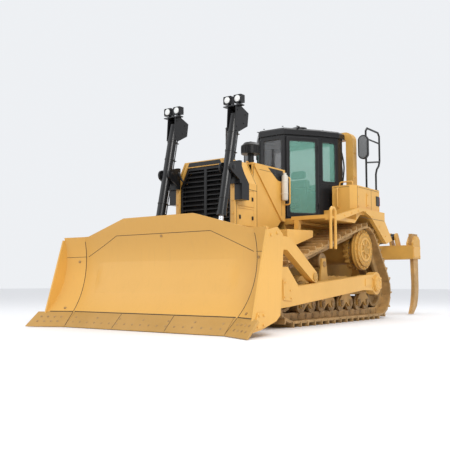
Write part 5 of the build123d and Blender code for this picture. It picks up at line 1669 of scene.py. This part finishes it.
def build_seat_piping(bm):
    """Piping round the cushion and the backrest."""
    tube(bm, [(x, y, 2.143) for x, y in rounded_corners(*SEAT_PLAN, 0.006, 0.058)], 0.0045, 8)
    tube(bm, [(x, lean_of_back(z), z) for x, z in rounded_corners(*SEAT_BACK, 0.006, 0.048)], 0.0045, 8)


def build_seat_base(bm):
    """The suspended base of the seat, its bellows and slides."""
    for side in (1, -1):
        block(bm, (side * 0.15, 0.34, 2.052), (side * 0.19, 0.68, 2.094))
    rings = []
    for step in range(13):
        corners = rounded_corners((-0.165, 0.335), (0.165, 0.675), 0.0 if step % 2 else 0.014, 0.04)[:-1]
        rings.append([bm.verts.new((x, y, 1.84 + 0.205 * step / 12)) for x, y in corners])
    skin(bm, rings)
    block(bm, (-0.17, 0.33, 1.81), (0.17, 0.68, 1.842))
    block(bm, (-0.2, 0.7, 2.12), (0.2, 0.728, 2.33))


class BULLDOZER_OT_cab(bpy.types.Operator):
    """Dress the cab, its doors and the operator's place"""

    bl_idname = "bulldozer.cab"
    bl_label = "Cab"

    def execute(self, context):
        for name, slot, finish, build, *bevel in (
            ("cab_gaskets", "dark_plastic", "Hose rubber", build_cab_gaskets),
            ("cab_seams", "dark_plastic", "Dark seam", build_cab_seams),
            ("cab_bolts", "dark_paint", "Black paint", build_cab_bolts),
            ("wipers", "dark_plastic", "Moulded plastic", build_wipers),
            ("roof_trim", "dark_paint", "Black paint", build_roof_trim, 0.002),
            ("roof_cap", "chrome_rod", "Silver cap", build_roof_cap),
            ("roof_aerial", "dark_plastic", "Moulded plastic", build_aerial),
            ("cab_hoses", "dark_plastic", "Hose rubber", build_cab_hoses),
            ("rear_hoses", "dark_plastic", "Hose rubber", build_rear_hoses),
            ("guard_pipes", "dark_paint", "Black paint", build_guard_pipes),
            ("armrests", "dark_plastic", "Moulded plastic", build_consoles, 0.006),
            ("stick_grips", "dark_plastic", "Moulded plastic", build_stick_knobs),
            ("seat_base", "dark_plastic", "Moulded plastic", build_seat_base, 0.003),
            ("seat_piping", "seat_fabric", "Seat cloth", build_seat_piping),
        ):
            piece(name, CHASSIS, slot, finish, build, *bevel)
        for name, build in (("seat_cushion", build_seat_cushion), ("seat_back", build_seat_back)):
            cushion = piece(name, CHASSIS, "seat_fabric", "Seat cloth", build, levels=1)
            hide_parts("operator_seat")
        for side, hand in SIDES:
            door = "door_" + hand
            piece("door_gaskets_" + hand, door, "dark_plastic", "Hose rubber", build_door_gasket, side=side)
            piece("door_fittings_" + hand, door, "dark_paint", "Black paint", build_door_handle, side=side)
            piece("door_rail_" + hand, door, "dark_paint", "Black paint", build_door_rail, side=side)
        return {"FINISHED"}


# The lift cylinders, the lamps over them and the ripper.

LIFT_AXIS = Vector((0, 0.2102, 0.9776))
LIFT_SIDE = Vector((0, LIFT_AXIS.z, -LIFT_AXIS.y))
TRUNNION = Vector((0.6, -2.31, 2.36))
LIFT_EYE = (-2.71, 0.5)
BARREL_TOP = 0.85


def lift_place(side, along, ahead, across=0.0):
    """A point beside a lift cylinder: along its axis from the trunnion, ahead of it and across."""
    place = TRUNNION + LIFT_AXIS * along - LIFT_SIDE * ahead
    return Vector((side * (place.x + across), place.y, place.z))


def build_barrel_pipes(bm, side):
    """The steel pipes and clamps of one lift cylinder."""
    for across, start in ((-0.04, -0.64), (0.04, 0.18)):
        runs = [(start, -0.06), (start, -0.0795), (0.7, -0.0795), (0.7, -0.06)]
        path = [lift_place(side, along, ahead, across) for along, ahead in runs]
        tube(bm, rounded_path(path, 0.02), 0.009, 10)
    for along in (-0.48, 0.26, 0.56):
        band(bm, lift_place(side, along, 0), LIFT_AXIS, 0.069, 0.0755, 0.014, 32)
        for across in (-0.045, 0.045):
            if across < 0 or along > 0.1:
                low = lift_place(side, along - 0.012, -0.055, across - 0.016)
                block(bm, low, lift_place(side, along + 0.012, -0.1, across + 0.016))


def build_barrel_bolts(bm, side):
    """The head bolts, the gland bolts and the trunnion bolts of one lift cylinder."""
    top = lift_place(side, BARREL_TOP, 0)
    bolt_circle(bm, top - LIFT_AXIS * 0.004, LIFT_AXIS, 0.052, 8, 0.007)
    gland = lift_place(side, -0.75, 0)
    bolt_circle(bm, gland + LIFT_AXIS * 0.004, -LIFT_AXIS, 0.06, 8, 0.007)
    for out in (-1, 1):
        for ahead in (-0.062, 0.062):
            place = Vector((side * 0.6 + out * 0.066, -2.31 + ahead * 0.45, 2.36 + ahead))
            bolt(bm, place, (out, 0, 0), 0.009)


def build_rod_ring(bm, side):
    """The wiper ring over the eye of one lift rod."""
    eye = Vector((side * TRUNNION.x, *LIFT_EYE))
    band(bm, eye + LIFT_AXIS * 0.125, LIFT_AXIS, 0.0375, 0.044, 0.012)


@mirrored
def build_eye_pins(bm, side):
    """Pin caps at the lift rods' eyes on the blade's lugs."""
    for out in (-1, 1):
        place = Vector((side * TRUNNION.x + out * 0.11, *LIFT_EYE))
        plug(bm, place, (out, 0, 0), 0.056, 0.008, 0.048, 0.014, 24, sunk=0.004)
        bolt(bm, place + Vector((out * 0.014, 0, 0)), (out, 0, 0), 0.014)


def build_lamps(bm, side):
    """The lamp lenses on one cylinder's bracket."""
    top = lift_place(side, BARREL_TOP, 0)
    for across in (-0.095, 0.095):
        profile = [(0.05, -0.004), (0.05, 0.004), (0.044, 0.01), (0.022, 0.014), (0, 0.015)]
        turned(bm, (top.x + across, top.y - 0.07, top.z + 0.225), FRONT, profile, 28)


def build_lamp_rims(bm, side):
    """The lamp rims, cooling ribs and bracket bolts on one cylinder."""
    top = lift_place(side, BARREL_TOP, 0)
    for across in (-0.095, 0.095):
        middle = Vector((top.x + across, top.y - 0.072, top.z + 0.225))
        outline = rounded_corners((-0.066, -0.058), (0.066, 0.058), 0.004, 0.018)
        tube(bm, [middle + Vector((x, 0, z)) for x, z in outline], 0.006, 8)
        for rise in range(5):
            z = middle.z - 0.044 + rise * 0.022
            low = (middle.x - 0.06, top.y + 0.028, z - 0.003)
            block(bm, low, (middle.x + 0.06, top.y + 0.046, z + 0.003))
    for out in (-1, 1):
        face = top.x + out * 0.082
        for ahead, rise in ((-0.06, -0.2), (0.12, -0.12), (0.16, 0.02), (-0.04, 0.06)):
            bolt(bm, (face, top.y + ahead, top.z + rise), (out, 0, 0), 0.009)


@mirrored
def build_yoke_bolts(bm, side):
    """Bolts that hold the cylinders' yokes to the guard, and the caps of their trunnions."""
    for x, z in ((0.5, 2.17), (0.5, 2.45), (0.7, 2.17)):
        bolt(bm, (side * x, -2.165, z), FRONT, 0.01)
    for out in (-1, 1):
        place = Vector((side * TRUNNION.x + out * 0.115, *TRUNNION.yz))
        plug(bm, place, (out, 0, 0), 0.04, 0.004, 0.032, 0.008, 24, sunk=0.004)


RIPPER_TILT_X = 0.808
RIPPER_LIFT_X = 0.62
RAM_RADIUS = 0.062
MOUNT_FACE = 2.205
CROSS_TUBE = (2.9206, 0.8177)
SHANK_XS = (-1.15, 0.0, 1.15)


@mirrored
def build_mount_bolts(bm, side):
    """Bolts of the rear mount's plate."""
    for x in (-0.86, -0.74, 0.74, 0.86):
        bolt(bm, (x, MOUNT_FACE, 0.7), REAR, 0.02)
        bolt(bm, (x, MOUNT_FACE, 1.2), REAR, 0.02)
    for z in (0.7, 1.48):
        bolt(bm, (side * 0.16, MOUNT_FACE, z), REAR, 0.02)
    bolt(bm, (side * 0.3, MOUNT_FACE, 1.48), REAR, 0.02)


def build_mount_welds(bm):
    """Weld beads of the rear mount's ears."""
    for x in (-0.3, 0.3):
        weld(bm, (x, 2.207, 0.66), (x, 2.207, 1.5), 0.008)


@mirrored
def build_link_bands(bm, side):
    """Bands round the lower link's cross tube, and its hose clamps."""
    band(bm, (side * 0.33, *CROSS_TUBE), (1, 0, 0), 0.077, 0.087, 0.008)
    band(bm, (side * 0.1, *CROSS_TUBE), (1, 0, 0), 0.077, 0.083, 0.016)


def build_beam_welds(bm):
    """Weld beads and seams of the ripper's beam."""
    for z in (1.158, 1.442):
        weld(bm, (-1.08, 3.372, z), (1.08, 3.372, z), 0.007)
    for x in (-1.21, 1.21):
        weld(bm, (x, 3.39, 1.442), (x, 3.5, 1.442), 0.007)


@mirrored
def build_beam_plates(bm, side):
    """End plates of the ripper's beam, with their bolts."""
    face = side * 1.24
    prism(bm, rectangle((3.395, 1.185), (3.765, 1.415)), "x", face - side * 0.012, face)
    for y in (3.42, 3.74):
        for z in (1.21, 1.39):
            bolt(bm, (face, y, z), (side, 0, 0), 0.012)


def build_shank_pins(bm):
    """Pins through the shanks, with their caps."""
    for x in SHANK_XS:
        for out in (-1, 1):
            for y in (3.5, 3.7):
                place = (x + out * 0.058, y, 1.56)
                plug(bm, place, (out, 0, 0), 0.024, 0.006, 0.016, 0.01, 20, sunk=0.03)


def build_shank_tips(bm):
    """Pins of the ripper's tip adapters."""
    for x in SHANK_XS:
        for out in (-1, 1):
            place = (x + out * 0.038, 3.61, 0.64)
            turned(bm, place, (out, 0, 0), [(0.02, -0.004), (0.02, 0.004), (0, 0.006)], 18)


def ram_fittings(bm, start, end, clamps, pipe):
    """The clamps and the pipe of one ripper cylinder, placed along it from its start."""
    along = (end - start).normalized()
    out = Vector((0, along.z, -along.y))
    for run in clamps:
        band(bm, start + along * run, along, RAM_RADIUS - 0.001, RAM_RADIUS + 0.006, 0.012)
    corners = ((pipe[0], -0.05), (pipe[0], -0.076), (pipe[1], -0.076), (pipe[1], -0.05))
    tube(bm, rounded_path([start + along * run + out * off for run, off in corners], 0.025), 0.01, 10)


def build_tilt_fittings(bm, side):
    """The pipe and clamps of one tilt cylinder."""
    x = side * RIPPER_TILT_X
    start, end = Vector((x, 2.31, 1.44)), Vector((x, 3.3795, 1.6286))
    ram_fittings(bm, start, end, (0.26, 0.43, 0.6), (0.24, 0.66))


def build_ram_fittings(bm, side):
    """The pipe and clamps of one ripper lift cylinder."""
    x = side * RIPPER_LIFT_X
    start, end = Vector((x, 2.05, 1.65)), Vector((x, 3.1569, 0.9093))
    ram_fittings(bm, start, end, (0.4, 0.56), (0.36, 0.62))


class BULLDOZER_OT_rams(bpy.types.Operator):
    """Dress the lift cylinders, their lamps and the ripper"""

    bl_idname = "bulldozer.rams"
    bl_label = "Cylinders and Ripper"

    def execute(self, context):
        for side, hand in SIDES:
            for name, body, slot, finish, build in (
                ("lift_pipes_", "lift_barrel_", "dark_paint", "Cylinder enamel", build_barrel_pipes),
                ("lift_bolts_", "lift_barrel_", "dark_paint", "Cylinder enamel", build_barrel_bolts),
                ("lift_rod_ring_", "lift_rod_", "dark_paint", "Cylinder enamel", build_rod_ring),
                ("lamp_lenses_", "lift_barrel_", "lamp_glass", "Lamp lens", build_lamps),
                ("lamp_rims_", "lift_barrel_", "dark_paint", "Black paint", build_lamp_rims),
                ("tilt_fittings_", "ripper_tilt_", "dark_paint", "Cylinder enamel", build_tilt_fittings),
                ("ram_fittings_", "ripper_barrel_", "dark_paint", "Cylinder enamel", build_ram_fittings),
            ):
                piece(name + hand, body + hand, slot, finish, build, side=side)
        for name, body, slot, finish, build in (
            ("blade_lug_pins", BLADE, "yellow_paint", "Undercarriage paint", build_eye_pins),
            ("yoke_bolts", CHASSIS, "dark_paint", "Black paint", build_yoke_bolts),
            ("mount_bolts", CHASSIS, "yellow_paint", "Ripper paint", build_mount_bolts),
            ("mount_welds", CHASSIS, "yellow_paint", "Ripper paint", build_mount_welds),
            ("link_bands", "ripper_link", "yellow_paint", "Ripper paint", build_link_bands),
            ("beam_welds", "ripper_beam", "yellow_paint", "Ripper paint", build_beam_welds),
            ("beam_end_plates", "ripper_beam", "yellow_paint", "Yellow paint", build_beam_plates),
            ("shank_pins", "ripper_beam", "worn_steel", "Worn steel", build_shank_pins),
            ("shank_tip_pins", "ripper_beam", "worn_steel", "Worn steel", build_shank_tips),
        ):
            piece(name, body, slot, finish, build)
        return {"FINISHED"}


# The CAD nodes' finishes, the colours, the stage, the panel and the run.

NODE_FINISHES = {
    "Track steel": ("track_left", "track_right"),
    "Roller steel": ("idlers", "rollers"),
    "Undercarriage paint": ("track_frames", "final_drives", "main_frame"),
    "Engine enamel": ("engine_block",),
    "Yellow paint": (
        "radiator_guard", "hood", "fenders", "side_tanks", "fuel_tank", "push_arms", "blade_braces",
        "step_hoops",
    ),
    "Blade paint": ("blade",),
    "Cutting edge paint": ("cutting_edge",),
    "Grille black": ("grille",),
    "Soot steel": ("exhaust_stack",),
    "Black paint": (
        "precleaner", "cab_frame", "cab_roof", "cab_door_left", "cab_door_right", "lamp_bracket_left",
        "lamp_bracket_right", "guard_rails", "cylinder_yokes", "work_lamps",
    ),
    "Door glass": ("door_glass_left", "door_glass_right"),
    "Moulded plastic": ("consoles", "operator_seat"),
    "Ripper paint": ("rops_frame", "ripper_mount", "ripper_link", "ripper_beam"),
    "Worn steel": ("ripper_shanks",),
    "Cylinder enamel": (
        "lift_barrel_left", "lift_barrel_right", "ripper_tilt_cylinder_left",
        "ripper_tilt_cylinder_right", "ripper_lift_barrel_left", "ripper_lift_barrel_right",
    ),
    "Rod chrome": ("lift_rod_left", "lift_rod_right", "ripper_lift_rod_left", "ripper_lift_rod_right"),
}


def finish_cab_glass():
    """Grey glass at the front and the rear, teal glass in the slanted quarter windows."""
    mesh = NODES["cab_glass"].data
    mesh.materials.clear()
    mesh.materials.append(bpy.data.materials["Front glass"])
    mesh.materials.append(bpy.data.materials["Door glass"])
    for face in mesh.polygons:
        face.material_index = int(abs(face.center.x) > 0.3 and face.center.y < 0.86)


COLOUR_RANGE = {"size": 3, "min": 0.0, "max": 1.0}


class BulldozerColours(bpy.types.PropertyGroup):
    """The colours of the bulldozer's paint, dust, tracks and glass"""

    paint: FloatVectorProperty(
        name="Paint",
        description="Colour of the yellow paint",
        subtype="COLOR",
        default=(0.68, 0.375, 0.078),
        **COLOUR_RANGE,
    )
    cab: FloatVectorProperty(
        name="Black Paint",
        description="Colour of the cab, the cylinders and the brackets",
        subtype="COLOR",
        default=(0.013, 0.013, 0.014),
        **COLOUR_RANGE,
    )
    dust: FloatVectorProperty(
        name="Dust",
        description="Colour of the dust and dried soil",
        subtype="COLOR",
        default=(0.36, 0.22, 0.095),
        **COLOUR_RANGE,
    )
    track: FloatVectorProperty(
        name="Track Steel",
        description="Colour of the tracks and rollers",
        subtype="COLOR",
        default=(0.5, 0.295, 0.105),
        **COLOUR_RANGE,
    )
    glass: FloatVectorProperty(
        name="Door Glass",
        description="Tint of the glass in the doors and the quarter windows",
        subtype="COLOR",
        default=(0.22, 0.5, 0.41),
        **COLOUR_RANGE,
    )


class BulldozerSizes(bpy.types.PropertyGroup):
    """Sizes of the lights and of the floor"""

    floor_reach: FloatProperty(
        name="Floor Reach",
        description="How far the floor runs from the middle of the machine",
        subtype="DISTANCE",
        unit="LENGTH",
        default=60.0,
        min=10.0,
    )
    lens: FloatProperty(
        name="Lens",
        description="Focal length of the camera in millimetres",
        default=53.78,
        min=10.0,
    )
    light_height: FloatProperty(
        name="Light Height",
        description="Height of the key light over the floor",
        subtype="DISTANCE",
        unit="LENGTH",
        default=9.0,
        min=4.0,
    )


class BULLDOZER_OT_finishes(bpy.types.Operator):
    """Make the finishes and give them to the CAD nodes"""

    bl_idname = "bulldozer.finishes"
    bl_label = "Finishes"

    def execute(self, context):
        make_finishes(context.scene.bulldozer_colours)
        for finish, nodes in NODE_FINISHES.items():
            for name in nodes:
                mesh = NODES[name].data
                mesh.materials.clear()
                mesh.materials.append(bpy.data.materials[finish])
        finish_cab_glass()
        return {"FINISHED"}


def make_floor_finish():
    """A plain pale floor."""
    material = bpy.data.materials.new("Studio floor")
    material.use_nodes = True
    shader = material.node_tree.nodes["Principled BSDF"]
    shader.inputs["Base Color"].default_value = (0.84, 0.84, 0.85, 1)
    shader.inputs["Roughness"].default_value = 0.9
    return material


def add_area_light(name, place, target, size, power, colour):
    """A soft square light that faces a target."""
    lamp = bpy.data.lights.new(name, "AREA")
    lamp.shape = "SQUARE"
    lamp.size = size
    lamp.energy = power
    lamp.color = colour
    light = bpy.data.objects.new(name, lamp)
    light.location = place
    light.rotation_euler = (Vector(target) - Vector(place)).to_track_quat("-Z", "Y").to_euler()
    bpy.context.scene.collection.objects.link(light)


class BULLDOZER_OT_stage(bpy.types.Operator):
    """Lay the floor and place the lights, the surroundings and the camera"""

    bl_idname = "bulldozer.stage"
    bl_label = "Stage"

    def execute(self, context):
        scene = context.scene
        sizes = scene.bulldozer_sizes
        bm = bmesh.new()
        reach = sizes.floor_reach
        corners = [bm.verts.new((x * reach, y * reach, 0)) for x, y in ((-1, -1), (1, -1), (1, 1), (-1, 1))]
        bm.faces.new(corners)
        mesh = bpy.data.meshes.new("studio_floor")
        bm.to_mesh(mesh)
        bm.free()
        mesh.materials.append(make_floor_finish())
        floor = bpy.data.objects.new("studio_floor", mesh)
        scene.collection.objects.link(floor)
        height = sizes.light_height
        middle = (0, 0, 1.2)
        add_area_light("Key light", (9.5, -7.5, height), middle, 5.0, 860, (1.0, 0.98, 0.95))
        add_area_light("Fill light", (-7.0, -9.5, height * 0.6), middle, 8.0, 180, (0.96, 0.98, 1.0))
        add_area_light("Top light", (1.0, 2.0, height * 1.1), middle, 7.0, 330, (1.0, 1.0, 1.0))
        world = bpy.data.worlds.new("Studio")
        world.use_nodes = True
        background = world.node_tree.nodes["Background"]
        background.inputs["Color"].default_value = (0.95, 0.97, 1.0, 1)
        background.inputs["Strength"].default_value = 0.9
        scene.world = world
        camera = bpy.data.cameras.new("Camera")
        camera.lens = sizes.lens
        camera.sensor_width = 36.0
        eye = bpy.data.objects.new("Camera", camera)
        eye.location = (6.427, -10.256, 0.655)
        eye.rotation_euler = (math.pi / 2 + 0.086, 0, 0.637)
        scene.collection.objects.link(eye)
        scene.camera = eye
        scene.view_settings.view_transform = "Standard"
        return {"FINISHED"}


class BULLDOZER_PT_panel(bpy.types.Panel):
    """Buttons for every group of pieces, and the colours and sizes"""

    bl_idname = "BULLDOZER_PT_panel"
    bl_label = "Bulldozer"
    bl_space_type = "VIEW_3D"
    bl_region_type = "UI"
    bl_category = "Bulldozer"

    def draw(self, context):
        layout = self.layout
        for name in ("paint", "cab", "dust", "track", "glass"):
            layout.prop(context.scene.bulldozer_colours, name)
        for name in ("floor_reach", "lens", "light_height"):
            layout.prop(context.scene.bulldozer_sizes, name)
        for operator in OPERATORS:
            layout.operator(operator.bl_idname)


OPERATORS = (
    BULLDOZER_OT_finishes,
    BULLDOZER_OT_blade,
    BULLDOZER_OT_tracks,
    BULLDOZER_OT_hull,
    BULLDOZER_OT_cab,
    BULLDOZER_OT_rams,
    BULLDOZER_OT_stage,
)
CLASSES = (BulldozerColours, BulldozerSizes, *OPERATORS, BULLDOZER_PT_panel)


def register():
    """Make the classes and the scene's settings known to Blender."""
    for cls in CLASSES:
        bpy.utils.register_class(cls)
    bpy.types.Scene.bulldozer_colours = PointerProperty(type=BulldozerColours)
    bpy.types.Scene.bulldozer_sizes = PointerProperty(type=BulldozerSizes)


def unregister():
    """Take the classes and the settings back."""
    del bpy.types.Scene.bulldozer_sizes
    del bpy.types.Scene.bulldozer_colours
    for cls in reversed(CLASSES):
        bpy.utils.unregister_class(cls)


def main():
    """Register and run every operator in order."""
    register()
    bpy.ops.bulldozer.finishes()
    bpy.ops.bulldozer.blade()
    bpy.ops.bulldozer.tracks()
    bpy.ops.bulldozer.hull()
    bpy.ops.bulldozer.cab()
    bpy.ops.bulldozer.rams()
    bpy.ops.bulldozer.stage()


if __name__ == "__main__":
    main()
